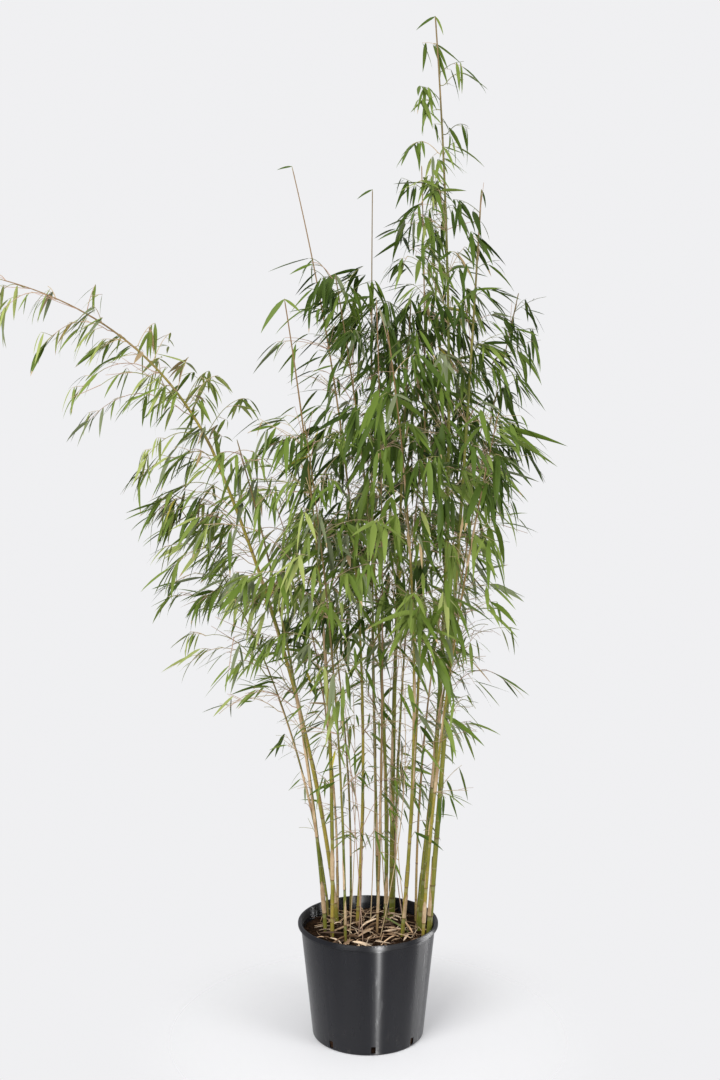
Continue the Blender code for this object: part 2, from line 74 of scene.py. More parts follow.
# Soil: rings of ground, raised into a low uneven mound, with lumps and litter on it.
SOIL_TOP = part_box("soil")[1].z
SOIL_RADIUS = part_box("soil")[1].x
SOIL_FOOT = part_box("soil")[0].z
SOIL_GAP = 0.0010
SOIL_SIDES = 96
SOIL_RINGS = 34
SOIL_DIP = 0.0015
SOIL_WAVES = 0.0022
# Towards the wall the ground falls away, from this share of its radius.
WALL_FROM = 0.7
WALL_DIP = 0.008
# The sizes of the ground's crumbs and how high they stand.
SOIL_RELIEF = ((0.022, 0.0070), (0.006, 0.0035))
LUMP_COUNT = 1500
LUMP_SIZE = (0.0012, 0.0050)
LUMP_UNEVEN = (0.6, 1.25)
LUMP_RISE = 0.4
LUMP_MARGIN = 0.004
LITTER_COUNT = 265
LITTER_LENGTH = (0.022, 0.080)
LITTER_MIX = (0.30, 0.27, 0.24, 0.19)
LITTER_WIDTH_SHARE = (0.042, 0.120)
LITTER_CURL = 1.3
LITTER_LIFT = (0.002, 0.010)
LITTER_TILT = (-0.35, 0.10)
LITTER_BEND = (0.1, 1.6)
LITTER_ROLL = 1.2
LITTER_TWIST = 2.0
LITTER_FOLD = (0.3, 1.6)
LITTER_MARGIN = 0.012
LITTER_TIP_MARGIN = 0.006
STICK_SHARE = 0.42
STICK_RADIUS = (0.0005, 0.0013)
# Fallen leaves: root, tip and width, then the bend, roll, twist and fold of each.
FALLEN_LEAVES = (
    ((0.030, 0.050, 0.248), (0.104, -0.030, 0.244), 0.013),
    ((-0.092, 0.088, 0.252), (-0.046, 0.050, 0.247), 0.012),
)
FALLEN_SHAPE = (0.25, 0.2, 0.3, 0.2)

# Culms. They taper from their width at the foot to a share of it at the tip, or at the bend where
# the arching culm is parted. The very end is narrowed by another share.
CULM_TIP_SHARE = 0.25
BEND_SHARE = 0.64
CUT_SHARE = 0.45
CULM_LEAST_RADIUS = 0.0011
CULM_SUNK = 0.012
CULM_SIDES = 12
# Distances between joints: at the foot, low on the culm where they are longest, and at the tip.
FIRST_JOINT = 0.045
LAST_JOINT = 0.012
JOINT_STEPS = ((0.0, 0.065), (0.12, 0.120), (0.40, 0.145), (0.70, 0.105), (1.0, 0.060))
JOINT_SPREAD = 0.12
# A joint's outline: distance along the culm and share of its radius.
JOINT_OUTLINE = (
    (-0.0060, 1.00), (-0.0030, 0.99), (-0.0018, 1.03), (-0.0009, 1.09),
    (0.0000, 1.01), (0.0011, 1.10), (0.0030, 1.03), (0.0065, 1.00),
)

Limb = namedtuple("Limb", "name tint width bare foot middle tip size leaf leafy mix")

# Name, tint, width at the foot, share of the length below the crown, foot, middle and tip, then
# the size of the crown's twigs, that of its leaves, how many there are and their mix of colours.
CULMS = (
    Limb("culm_01", "green", 0.0060, 0.74, (-0.090, 0.095), (-0.215, 0.145, 0.760),
         (-0.460, 0.210, 1.200), 1.0, 0.90, 0.46, "fresh"),
    Limb("culm_02", "green", 0.0090, 0.72, (-0.095, -0.005), (-0.155, -0.085, 0.795),
         (-0.265, -0.220, 1.340), 1.0, 1.00, 0.52, "fresh"),
    Limb("culm_04", "gold", 0.0090, 1.00, (-0.080, -0.035), (-0.095, -0.110, 0.935),
         (-0.165, -0.280, 1.615), 0.9, 1.05, 0.8, "fresh"),
    Limb("culm_05", "green", 0.0055, 0.66, (-0.040, 0.120), (-0.065, 0.205, 0.760),
         (-0.160, 0.330, 1.275), 1.0, 0.90, 0.8, "mixed"),
    Limb("culm_06", "green", 0.0065, 0.66, (-0.050, -0.075), (-0.070, -0.180, 0.820),
         (-0.125, -0.340, 1.380), 1.0, 1.10, 0.9, "bright"),
    Limb("culm_07", "gold", 0.0080, 1.00, (-0.025, 0.030), (-0.030, 0.040, 1.080),
         (-0.165, 0.050, 1.920), 0.9, 0.90, 0.9, "mixed"),
    Limb("culm_08", "tan", 0.0060, 0.64, (-0.070, 0.085), (-0.115, 0.235, 0.780),
         (-0.265, 0.330, 1.280), 1.0, 0.90, 0.44, "fresh"),
    Limb("culm_09", "tan", 0.0060, 1.00, (0.020, -0.010), (0.030, -0.060, 0.930),
         (0.015, -0.180, 1.620), 0.9, 1.00, 0.9, "mixed"),
    Limb("culm_10", "green", 0.0080, 1.00, (0.025, 0.125), (0.010, 0.150, 1.060),
         (0.010, 0.180, 1.890), 0.9, 0.95, 1.6, "deep"),
    Limb("culm_11", "green", 0.0090, 0.72, (0.040, 0.050), (0.020, 0.005, 0.960),
         (-0.070, -0.080, 1.680), 1.1, 1.00, 2.2, "deep"),
    Limb("culm_12", "green", 0.0120, 0.74, (0.055, 0.085), (0.065, 0.095, 0.935),
         (0.095, 0.100, 1.640), 1.0, 1.00, 2.1, "deep"),
    Limb("culm_13", "gold", 0.0090, 0.70, (0.075, -0.035), (0.095, -0.125, 0.905),
         (0.035, -0.300, 1.555), 1.0, 1.25, 1.0, "bright"),
    Limb("culm_14", "gold", 0.0080, 0.76, (0.085, 0.095), (0.125, 0.130, 1.085),
         (0.120, 0.170, 1.940), 0.75, 0.90, 1.3, "deep"),
    Limb("culm_15", "green", 0.0070, 0.66, (0.060, 0.120), (0.090, 0.245, 0.860),
         (0.155, 0.345, 1.510), 1.0, 1.00, 1.6, "deep"),
    Limb("culm_16", "tan", 0.0060, 0.66, (0.110, 0.065), (0.155, 0.190, 0.825),
         (0.285, 0.330, 1.390), 1.0, 1.00, 1.3, "mixed"),
    Limb("culm_17", "green", 0.0060, 0.72, (0.110, 0.030), (0.200, 0.090, 0.950),
         (0.335, 0.120, 1.655), 0.9, 1.00, 1.35, "deep"),
    Limb("culm_18", "green", 0.0120, 0.80, (0.115, 0.000), (0.175, 0.030, 1.225),
         (0.140, 0.000, 2.220), 0.55, 0.95, 0.46, "bright"),
    Limb("culm_19", "gold", 0.0080, 0.68, (0.120, -0.060), (0.165, -0.175, 0.830),
         (0.250, -0.330, 1.400), 0.9, 1.30, 1.25, "bright"),
    Limb("culm_20", "green", 0.0125, 0.76, (0.135, -0.025), (0.190, -0.040, 1.045),
         (0.235, -0.060, 1.855), 0.75, 1.05, 1.40, "deep"),
)
# The long culm that arches over to one side, parted at its bend.
ARCH_LOWER = Limb("culm_03_lower", "gold", 0.0100, 1.00, (-0.070, 0.055), (-0.165, 0.020, 0.785),
                  (-0.335, -0.040, 1.315), 1.0, 1.00, 0.75, "fresh")
# Its leaves take the pale mix, whose lighter greens are painted light showing through the thin leaves.
ARCH_UPPER = Limb("culm_03_upper", "gold", 0.0064, 0.06, None, (-0.515, -0.078, 1.548),
                  (-0.785, -0.120, 1.672), 0.42, 0.90, 0.92, "pale")

# Branches at the side of each culm: height of the root, heading in degrees (0 is +X, 90 is +Y),
# reach and rise of the stem. Twigs set off along them from a share of their length.
SIDE_BRANCHES = {
    "culm_01": ((0.78, 185, 0.14, 0.1), (0.93, 155, 0.13, 0.08)),
    "culm_02": ((0.85, 215, 0.13, 0.08),),
    "culm_03_lower": ((0.78, 205, 0.08, 0.06), (1.12, 170, 0.13, 0.08)),
    "culm_03_upper": ((1.42, 200, 0.16, 0.03),),
    "culm_04": ((0.98, 240, 0.13, 0.09), (1.22, 205, 0.1, 0.08)),
    "culm_07": ((1.12, 190, 0.11, 0.1),),
    "culm_10": ((1.05, 110, 0.13, 0.1),),
    "culm_11": ((0.92, 215, 0.11, 0.08),),
    "culm_12": ((1.02, 150, 0.11, 0.1),),
    "culm_13": ((0.86, 265, 0.12, 0.1),),
    "culm_14": ((1.22, 75, 0.12, 0.12),),
    "culm_17": ((0.86, 335, 0.08, 0.06), (1.08, 350, 0.07, 0.06)),
    "culm_18": ((1.38, 20, 0.11, 0.1), (1.62, 215, 0.1, 0.1)),
    "culm_19": ((0.93, 235, 0.12, 0.1),),
    "culm_20": ((0.86, 290, 0.11, 0.08), (1.15, 300, 0.12, 0.1)),
}
# A branch sets off from this share of the culm's radius, and its collar is this long.
BRANCH_ROOT_SHARE = 0.8
BRANCH_COLLAR = 0.008
BRANCH_BOW = 0.25
BRANCH_RADIUS = (0.0015, 0.0007)
BRANCH_RUNS = 3
SIDE_FROM = 0.25

# Thin branches that the solids leave out, of the same four numbers.
FINE_BRANCHES = {
    "culm_01": ((0.95, 200, 0.06, 0.02), (0.8, 190, 0.17, 0.02), (0.7, 185, 0.14, 0.0)),
    "culm_02": ((1.02, 180, 0.06, 0.03), (0.98, 190, 0.09, 0.02), (0.76, 195, 0.14, 0.01)),
    "culm_03_lower": (
        (1.3, 200, 0.09, -0.03), (1.285, 345, 0.09, 0.01), (1.26, 186, 0.17, -0.01),
        (1.29, 190, 0.05, 0.02), (1.22, 196, 0.15, -0.03), (1.19, 186, 0.13, 0.0),
        (1.15, 200, 0.07, 0.02), (1.13, 190, 0.16, 0.01), (1.2, 340, 0.05, 0.02),
        (1.08, 190, 0.08, 0.02), (1.2, 330, 0.1, 0.02), (1.16, 182, 0.18, 0.01), (1.06, 188, 0.17, 0.0),
        (0.98, 200, 0.15, 0.0),
    ),
    "culm_03_upper": (
        (1.65, 165, 0.06, -0.02), (1.625, 190, 0.11, -0.03), (1.6, 60, 0.03, 0.06),
        (1.56, 182, 0.14, -0.03), (1.5, 30, 0.04, 0.06), (1.475, 188, 0.17, -0.05),
        (1.54, 190, 0.04, -0.01), (1.53, 30, 0.04, 0.05), (1.44, 60, 0.04, 0.07),
        (1.42, 20, 0.05, 0.06), (1.385, 183, 0.21, -0.01), (1.335, 60, 0.03, 0.03),
        (1.41, 10, 0.06, 0.06), (1.35, 15, 0.09, 0.07), (1.34, 190, 0.12, -0.05),
    ),
    "culm_06": ((0.9, 200, 0.13, 0.03), (0.86, 250, 0.05, 0.02), (0.79, 275, 0.05, 0.02)),
    "culm_09": ((0.88, 262, 0.06, 0.02),),
    "culm_10": (
        (1.42, 150, 0.1, 0.05), (1.48, 60, 0.09, 0.05), (1.53, 200, 0.1, 0.04), (1.57, 330, 0.08, 0.04),
        (1.6, 180, 0.08, 0.03),
    ),
    "culm_11": (
        (1.15, 200, 0.13, 0.06), (1.3, 185, 0.09, 0.06), (1.42, 195, 0.08, 0.06),
        (1.5, 215, 0.08, 0.05), (1.56, 20, 0.1, 0.06), (1.59, 190, 0.07, 0.06), (1.62, 30, 0.08, 0.04),
        (1.64, 175, 0.05, 0.05), (1.67, 200, 0.05, 0.03), (1.66, 200, 0.05, 0.05),
    ),
    "culm_12": (
        (1.35, 185, 0.13, 0.06), (1.5, 190, 0.13, 0.06), (1.56, 180, 0.12, 0.03), (1.6, 200, 0.1, 0.02),
    ),
    "culm_13": ((0.8, 240, 0.05, 0.02),),
    "culm_14": ((1.45, 30, 0.13, 0.05), (1.8, 350, 0.05, 0.02), (1.7, 340, 0.05, 0.02)),
    "culm_17": ((1.25, 0, 0.05, 0.03),),
    "culm_18": (
        (1.7, 190, 0.05, 0.02), (1.78, 200, 0.05, 0.02), (1.86, 190, 0.05, 0.02),
        (1.9, 250, 0.04, 0.02), (1.94, 170, 0.06, 0.02), (1.98, 20, 0.05, 0.02),
        (2.03, 190, 0.04, 0.02), (2.08, 350, 0.05, 0.02),
    ),
    "culm_19": ((0.78, 290, 0.05, 0.02),),
    "culm_20": ((0.8, 335, 0.12, 0.02), (0.74, 300, 0.1, 0.03)),
}
FINE_RADIUS = (0.0011, 0.0006)
FINE_FROM = 0.15

# Where the crown is open seen from the front: X, Z, half the width and height there, and the
# share of leaves that stay.
OPEN_PLACES = (
    (-0.135, 1.46, 0.05, 0.15, 0.06), (-0.19, 1.64, 0.075, 0.08, 0.15), (0.3, 1.83, 0.07, 0.115, 0.08),
    (0.33, 1.69, 0.06, 0.06, 0.35), (-0.34, 0.66, 0.15, 0.15, 0.0), (-0.19, 0.54, 0.08, 0.15, 0.1),
    (0.275, 2.01, 0.09, 0.15, 0.0), (0.355, 1.13, 0.08, 0.15, 0.1), (0.285, 0.86, 0.085, 0.13, 0.15),
    (0.212, 1.79, 0.045, 0.095, 0.3), (0.073, 1.655, 0.035, 0.045, 0.25),
    (-0.095, 1.43, 0.055, 0.16, 0.45), (-0.775, 1.625, 0.06, 0.06, 0.25),
    (-0.54, 1.46, 0.07, 0.05, 0.3), (-0.317, 0.85, 0.06, 0.07, 0.15), (0.34, 0.68, 0.16, 0.2, 0.1),
    (0.23, 0.67, 0.075, 0.17, 0.05), (-0.255, 0.4, 0.08, 0.15, 0.0), (0.25, 0.5, 0.08, 0.15, 0.0),
    (0.1, 0.745, 0.25, 0.165, 0.22), (0.44, 0.93, 0.15, 0.24, 0.0), (-0.61, 1.13, 0.1, 0.13, 0.0),
)
VIEW_FROM = Vector((-0.018, -3.024, 1.426))

# Branchlets turn about the stem that carries them, set off upwards and bow over. They carry
# tufts: short sprigs, to one side and the other, with a few leaves that hang the same way.
SEED = 16
NODE_STEP = 0.048
BRANCHLETS = 2.5
BRANCHLET_LENGTH = (0.070, 0.210)
SHORTER_AT_TIP = 0.50
FEWER_AT_TIP = 0.35
BRANCHLET_ANGLE = math.radians(50)
BRANCHLET_TURN = math.radians(137.5)
BRANCHLET_TURN_SPREAD = 0.4
BRANCHLET_RADIUS = (0.00095, 0.00048)
BRANCHLET_POINTS = 5
SAG = (0.25, 0.85)
SHOOT_CHANCE = 0.11
SHOOT_LENGTH = (0.050, 0.110)
SHOOT_LEAN = (0.1, 0.4)
CROWN_TO = 0.97
TUFT_STEP = 0.030
TUFT_FROM = 0.22
TUFT_YAW = 0.35
TUFT_DROP_SPREAD = 0.12
NEW_TONE_CHANCE = 0.35
SPRIG_LENGTH = (0.012, 0.040)
SPRIG_YAW = math.radians(38)
SPRIG_TILT = 0.5
SPRIG_SAG = 0.3
SPRIG_RADIUS = (0.00058, 0.00036)
LEAVES_PER_TUFT = (2, 2, 3, 4)
LEAF_GAP = 0.008
LEAF_LENGTH = (0.036, 0.066, 0.106)
LEAF_WIDTH_SHARE = (0.090, 0.130)
# How steeply leaves hang: height, and degrees below the horizontal.
LEAF_DROP = ((1.0, 44), (1.6, 40))
LEAF_DROP_RANGE = math.radians(13)
LEAF_DROP_SPREAD = math.radians(12)
LEAF_DROP_LIMITS = (-0.3, 1.45)
LEAF_YAW = math.radians(38)
LEAF_YAW_SPREAD = 0.12
LEAF_ROLL = 0.46
LEAF_TWIST = 0.5
LEAF_BEND = (0.06, 0.50)
LEAF_FOLD = (0.08, 0.40)
DRY_TIP_CHANCE = {"deep": 0.02, "mixed": 0.04, "bright": 0.05, "fresh": 0.12, "pale": 0.12, "low": 0.08}
ODD_LEAF_CHANCE = 0.20
LEAN_PULL = 1.0
OUTWARD_PULL = 0.95
# The line that leaves point away from leans over to the right higher up: height, X and Y.
CLUMP_LINE = ((0.7, -0.03, 0.03), (1.5, 0.13, 0.03))

# Thin stems that stand between the culms: how many, their length, radius and lean outwards.
STEM_COUNT = 9
STEM_REACH = 0.115
STEM_LENGTH = (0.35, 0.85)
STEM_RADIUS = (0.0014, 0.0007)
STEM_LEAN = (0.02, 0.13)
STEM_STRAY = 0.04
STEM_BOW = 0.02
STEM_STEPS = 12
STEM_TWIGS_FROM = 5
STEM_TWIG_CHANCE = 0.6
STEM_TWIG_TILT = (-1.2, -0.3)
STEM_DROP = 0.5

# Single leaves at the end of each culm: length, heading and drop. Then their width as a share of
# the length, and their bend, roll, twist and fold.
TIP_LEAF_WIDTH = 0.13
TIP_LEAVES = {
    "culm_03_upper": ((0.06, 176, 8), (0.06, 190, 42)),
    "culm_04": ((0.082, 185, 45), (0.045, 10, 30)),
    "culm_07": ((0.034, 185, 4),),
    "culm_10": ((0.042, 180, 22),),
    "culm_11": ((0.096, 188, 50), (0.088, 200, 62), (0.07, 172, 36), (0.076, 350, 58)),
    "culm_12": ((0.074, 196, 56), (0.07, 344, 62)),
    "culm_18": ((0.05, 180, 25), (0.046, 330, 55)),
    "culm_20": ((0.04, 335, 66),),
}
TIP_LEAF_SHAPE = (0.35, 1.15, 0.1, 0.2)
# The arching culm's solid ends where its last leaf does, so its own tip stops short.
ARCH_END = 0.965
# Joints stand as close past its bend as they do from this share of another culm's length.
ARCH_JOINTS_FROM = 0.6

# Thin twigs with a few small leaves on the culms below the crown: none under the first height, and
# all of them from the second. Where there are two values, they grow from one to the other.
LOW_FROM = 0.42
LOW_FULL = 0.85
LOW_TWIG_LENGTH = ((0.025, 0.060), (0.050, 0.130))
LOW_LEAF_LENGTH = (0.024, 0.042, 0.085)
LOW_TWIGS = (0.3, 6.8)
LOW_TUFT = (0, 0, 0, 0, 0, 1, 1, 2, 2)
LOW_TUFT_FROM = 0.4
LOW_TO = 0.80
LOW_ANGLE = (0.4, 1.3)
LOW_SAG = (0, 0.5)
LOW_DROP = (-0.1, 1.1)
LONGER_HIGH_UP = 0.3

# The leaf's outline: place along it and share of its half width.
LEAF_OUTLINE = ((0.0, 0.0), (0.05, 0.40), (0.20, 0.92), (0.38, 1.0), (0.62, 0.76), (0.84, 0.36), (1.0, 0.0))

# The crown's furthest tips.
CROWN_LOW = Vector((-0.83, -0.42, 0.30))
CROWN_HIGH = Vector((0.40, 0.42, 2.22))

# Plain leaf colours, dealt out by spray.
LEAF_COLOURS = {
    "deep": (0.033, 0.061, 0.006),
    "dark": (0.058, 0.099, 0.011),
    "middle": (0.106, 0.162, 0.022),
    "fresh": (0.180, 0.244, 0.048),
    "lime": (0.320, 0.370, 0.110),
    "grey": (0.175, 0.205, 0.105),
    "yellow": (0.420, 0.370, 0.060),
    "straw": (0.400, 0.290, 0.150),
}
LEAF_TONES = tuple(LEAF_COLOURS)
YELLOW = LEAF_TONES.index("yellow")
STRAW = LEAF_TONES.index("straw")
# How often each of the green tones is dealt to a spray. A few leaves go yellow or dry.
LEAF_MIXES = {
    "deep": (0.34, 0.44, 0.16, 0.01, 0.00, 0.05),
    "mixed": (0.12, 0.36, 0.38, 0.08, 0.00, 0.06),
    # The fresh and pale mixes are light partly because young leaves are pale and partly as painted light:
    # their paler greens stand in for light showing through the thin leaves. The pale mix is mostly painted
    # light.
    "fresh": (0.00, 0.01, 0.23, 0.53, 0.14, 0.09),
    "pale": (0.00, 0.00, 0.10, 0.48, 0.32, 0.10),
    "bright": (0.00, 0.02, 0.33, 0.54, 0.04, 0.07),
    "low": (0.00, 0.10, 0.40, 0.22, 0.02, 0.26),
}
# Below this height these culms' leaves are of a lighter mix, above it those others of a darker one.
LIGHT_BELOW = 1.22
LIGHT_MIXES = {
    "culm_12": "mixed", "culm_14": "mixed", "culm_15": "mixed",
    "culm_16": "bright", "culm_17": "bright", "culm_20": "bright",
}
DARK_MIXES = {"culm_06": "mixed", "culm_13": "mixed", "culm_19": "mixed", "culm_09": "deep"}
GONE_CHANCE = {"deep": 0.005, "mixed": 0.012, "bright": 0.010, "fresh": 0.035, "pale": 0.03, "low": 0.035}
GONE_TONES = (YELLOW, STRAW, STRAW)
TWIG_COLOURS = {
    "shade_twig": (0.120, 0.135, 0.035),
    "green_twig": (0.290, 0.285, 0.095),
    "tan_twig": (0.520, 0.390, 0.220),
    "pink_twig": (0.460, 0.300, 0.210),
}
TWIG_TONES = tuple(TWIG_COLOURS)
STEM_TONES = (TWIG_TONES.index("tan_twig"), TWIG_TONES.index("pink_twig"))
TWIG_WIDTHS = {"deep": 0.9, "mixed": 1.0, "bright": 1.0, "fresh": 1.35, "pale": 1.2, "low": 1.0}
TWIG_MIXES = {
    "deep": (0.66, 0.20, 0.08, 0.06),
    "mixed": (0.30, 0.30, 0.22, 0.18),
    "bright": (0.20, 0.40, 0.25, 0.15),
    "fresh": (0.00, 0.20, 0.45, 0.35),
    "pale": (0.00, 0.20, 0.45, 0.35),
    "low": (0.00, 0.20, 0.45, 0.35),
}
LITTER_COLOURS = {
    "straw_litter": (0.680, 0.470, 0.290),
    "pale_litter": (0.840, 0.660, 0.470),
    "brown_litter": (0.230, 0.138, 0.074),
    "dark_litter": (0.080, 0.044, 0.025),
}

PLUS_X = Vector((1, 0, 0))

rng = random.Random(SEED)


# Materials.


def feed(tree, socket, value):
    """Gives an input another node's output, a colour or a plain value."""
    if isinstance(value, bpy.types.NodeSocket):
        tree.links.new(value, socket)
    elif socket.type == "RGBA":
        socket.default_value = (*value, 1.0)
    else:
        socket.default_value = value


def add_node(tree, kind, *feeds, **values):
    """A new node. Values go to its settings or, where it has none of that name, to its inputs."""
    made = tree.nodes.new(f"ShaderNode{kind}")
    for name, value in values.items():
        if hasattr(made, name):
            setattr(made, name, value)
        else:
            feed(tree, made.inputs[name.replace("_", " ")], value)
    for socket, value in zip(made.inputs, feeds):
        feed(tree, socket, value)
    return made


def calc(tree, operation, *feeds):
    return add_node(tree, "Math", *feeds, operation=operation).outputs[0]


def ranged(tree, value, **limits):
    """The value, brought from one range to another."""
    return add_node(tree, "MapRange", value, **limits).outputs[0]


# The colour sockets of a mix node, which has others for plain values and vectors.
MIX_FIRST = 6
MIX_SECOND = 7
MIX_RESULT = 2


def mixed(tree, mask, first, second):
    """A colour between two, by a mask."""
    mix = add_node(tree, "Mix", mask, data_type="RGBA")
    feed(tree, mix.inputs[MIX_FIRST], first)
    feed(tree, mix.inputs[MIX_SECOND], second)
    return mix.outputs[MIX_RESULT]


def bumped(tree, height, strength, distance):
    return add_node(tree, "Bump", Height=height, Strength=strength, Distance=distance).outputs[0]


def new_material(name):
    made = bpy.data.materials.new(name)
    made.use_nodes = True
    return made, made.node_tree


def shade(tree, **values):
    """Feeds the inputs of the material's shader."""
    shader = tree.nodes["Principled BSDF"]
    for name, value in values.items():
        feed(tree, shader.inputs[name.replace("_", " ")], value)


def group_tree(name, inputs, outputs):
    """A new shader node group. Inputs and outputs are (name, kind, default)."""
    tree = bpy.data.node_groups.new(name, "ShaderNodeTree")
    for direction, sockets in (("INPUT", inputs), ("OUTPUT", outputs)):
        for label, kind, default in sockets:
            socket = tree.interface.new_socket(label, in_out=direction, socket_type=f"NodeSocket{kind}")
            if default is not None:
                socket.default_value = default
    return tree, tree.nodes.new("NodeGroupInput").outputs, tree.nodes.new("NodeGroupOutput").inputs


def mottle_group():
    """Soft blotches of a size, as a mask and as a colour between two."""
    inputs = (
        ("Stretch", "Vector", (1.0, 1.0, 1.0)),
        ("Scale", "Float", 20.0),
        ("Detail", "Float", 4.0),
        ("Low", "Float", 0.35),
        ("High", "Float", 0.65),
        ("Colour 1", "Color", (0.1, 0.1, 0.1, 1.0)),
        ("Colour 2", "Color", (0.2, 0.2, 0.2, 1.0)),
    )
    tree, given, gives = group_tree("mottle", inputs, (("Mask", "Float", None), ("Colour", "Color", None)))
    place = add_node(tree, "TexCoord").outputs["Object"]
    place = add_node(tree, "VectorMath", place, given["Stretch"], operation="MULTIPLY").outputs[0]
    noise = add_node(
        tree, "TexNoise", Vector=place, Scale=given["Scale"], Detail=given["Detail"], Roughness=0.6)
    mask = ranged(tree, noise.outputs["Fac"], From_Min=given["Low"], From_Max=given["High"])
    feed(tree, gives["Mask"], mask)
    feed(tree, gives["Colour"], mixed(tree, mask, given["Colour 1"], given["Colour 2"]))
    return tree


def band_group():
    """A soft band across a value: 1 at its middle, falling to 0 at its half width."""
    inputs = (("Value", "Float", 0.0), ("Middle", "Float", 0.0), ("Half Width", "Float", 0.001))
    tree, given, gives = group_tree("band", inputs, (("Mask", "Float", None),))
    away = calc(tree, "ABSOLUTE", calc(tree, "SUBTRACT", given["Value"], given["Middle"]))
    share = calc(tree, "DIVIDE", away, given["Half Width"])
    fall = ranged(tree, share, interpolation_type="SMOOTHSTEP", From_Min=1.0, From_Max=0.4)
    feed(tree, gives["Mask"], fall)
    return tree


MOTTLE = mottle_group()
BAND = band_group()


def mottled(tree, *colours, **values):
    """Soft blotches: a colour between two where they are given, and otherwise a mask."""
    made = add_node(tree, "Group", node_tree=MOTTLE, **values)
    for label, colour in zip(("Colour 1", "Colour 2"), colours):
        feed(tree, made.inputs[label], colour)
    return made.outputs["Colour" if colours else "Mask"]


def banded(tree, value, middle, half_width):
    return add_node(tree, "Group", value, middle, half_width, node_tree=BAND).outputs[0]


POT_BLACK = (0.0042, 0.0044, 0.0072)
POT_BLACK_LIGHT = (0.0062, 0.0066, 0.0100)
DUST_COLOUR = (0.110, 0.095, 0.080)
# Dust on the wall, least above the first height and most at the second.
DUST_RANGE = {"From_Min": 0.060, "From_Max": 0.002, "To_Min": 0.03, "To_Max": 0.29}
DUST_ROUGHNESS = 0.45


def pot_material():
    """Black plastic with a dusty foot, fine scuffs and a duller lip."""
    made, tree = new_material("pot_plastic")
    black = mottled(tree, POT_BLACK, POT_BLACK_LIGHT, Scale=9.0, Stretch=(1.0, 1.0, 0.35))
    specks = mottled(tree, Scale=60.0, Detail=8.0, Low=0.52, High=0.80, Stretch=(1.0, 1.0, 0.5))
    scuffs = mottled(tree, Scale=140.0, Detail=2.0, Low=0.60, High=0.72, Stretch=(1.0, 1.0, 0.10))
    waves = mottled(tree, Scale=14.0, Detail=1.0, Low=0.0, High=1.0, Stretch=(1.0, 1.0, 0.3))
    height = add_node(tree, "SeparateXYZ", add_node(tree, "TexCoord").outputs["Object"]).outputs["Z"]
    dust = calc(tree, "MULTIPLY", ranged(tree, height, **DUST_RANGE), specks)
    rough = calc(tree, "MULTIPLY_ADD", dust, DUST_ROUGHNESS, ranged(tree, scuffs, To_Min=0.25, To_Max=0.32))
    lip_foot = POT_HEIGHT - LIP_HEIGHT
    on_lip = ranged(tree, height, From_Min=lip_foot - 0.006, From_Max=lip_foot + 0.001, To_Max=0.22)
    shade(tree, Base_Color=mixed(tree, dust, black, DUST_COLOUR),
          Roughness=calc(tree, "ADD", rough, on_lip), Normal=bumped(tree, waves, 0.35, 0.0008),
          Specular_IOR_Level=0.36, Anisotropic=1.0, Anisotropic_Rotation=0.25)
    return made


SOIL_DARK = (0.0050, 0.0022, 0.0010)
SOIL_LIGHT = (0.0460, 0.0230, 0.0115)
FIBRE_COLOUR = (0.150, 0.085, 0.045)


def soil_material():
    made, tree = new_material("potting_soil")
    crumbs = mottled(tree, SOIL_DARK, SOIL_LIGHT, Scale=70.0, Detail=8.0, Low=0.38, High=0.66)
    fibres = mottled(tree, Scale=420.0, Detail=3.0, Low=0.60, High=0.72)
    grain = mottled(tree, Scale=260.0, Detail=6.0, Low=0.2, High=0.8)
    shade(tree, Base_Color=mixed(tree, fibres, crumbs, FIBRE_COLOUR),
          Roughness=0.95, Normal=bumped(tree, grain, 0.9, 0.0015), Specular_IOR_Level=0.08)
    return made


SOIL_MATERIAL = soil_material()


# For each tint: its two colours, that of the rings at its joints, and that of its thin end.
CULM_COLOURS = {
    "green": ((0.115, 0.148, 0.016), (0.240, 0.230, 0.036), (0.150, 0.105, 0.035), (0.190, 0.130, 0.045)),
    "gold": ((0.215, 0.215, 0.028), (0.400, 0.305, 0.055), (0.200, 0.125, 0.045), (0.240, 0.150, 0.065)),
    "tan": ((0.260, 0.205, 0.055), (0.410, 0.265, 0.115), (0.170, 0.100, 0.045), (0.260, 0.160, 0.085)),
}
# A pale bloom under each joint, and brown blotches.
BLOOM_COLOUR = (0.440, 0.430, 0.290)
BLOOM_SHARE = 0.22
BLOTCH_COLOUR = (0.300, 0.190, 0.090)
BLOTCH_SHARE = 0.55
STREAK_SHADE = 0.55
THIN_RADIUS = 0.0017
THICK_RADIUS = 0.0028


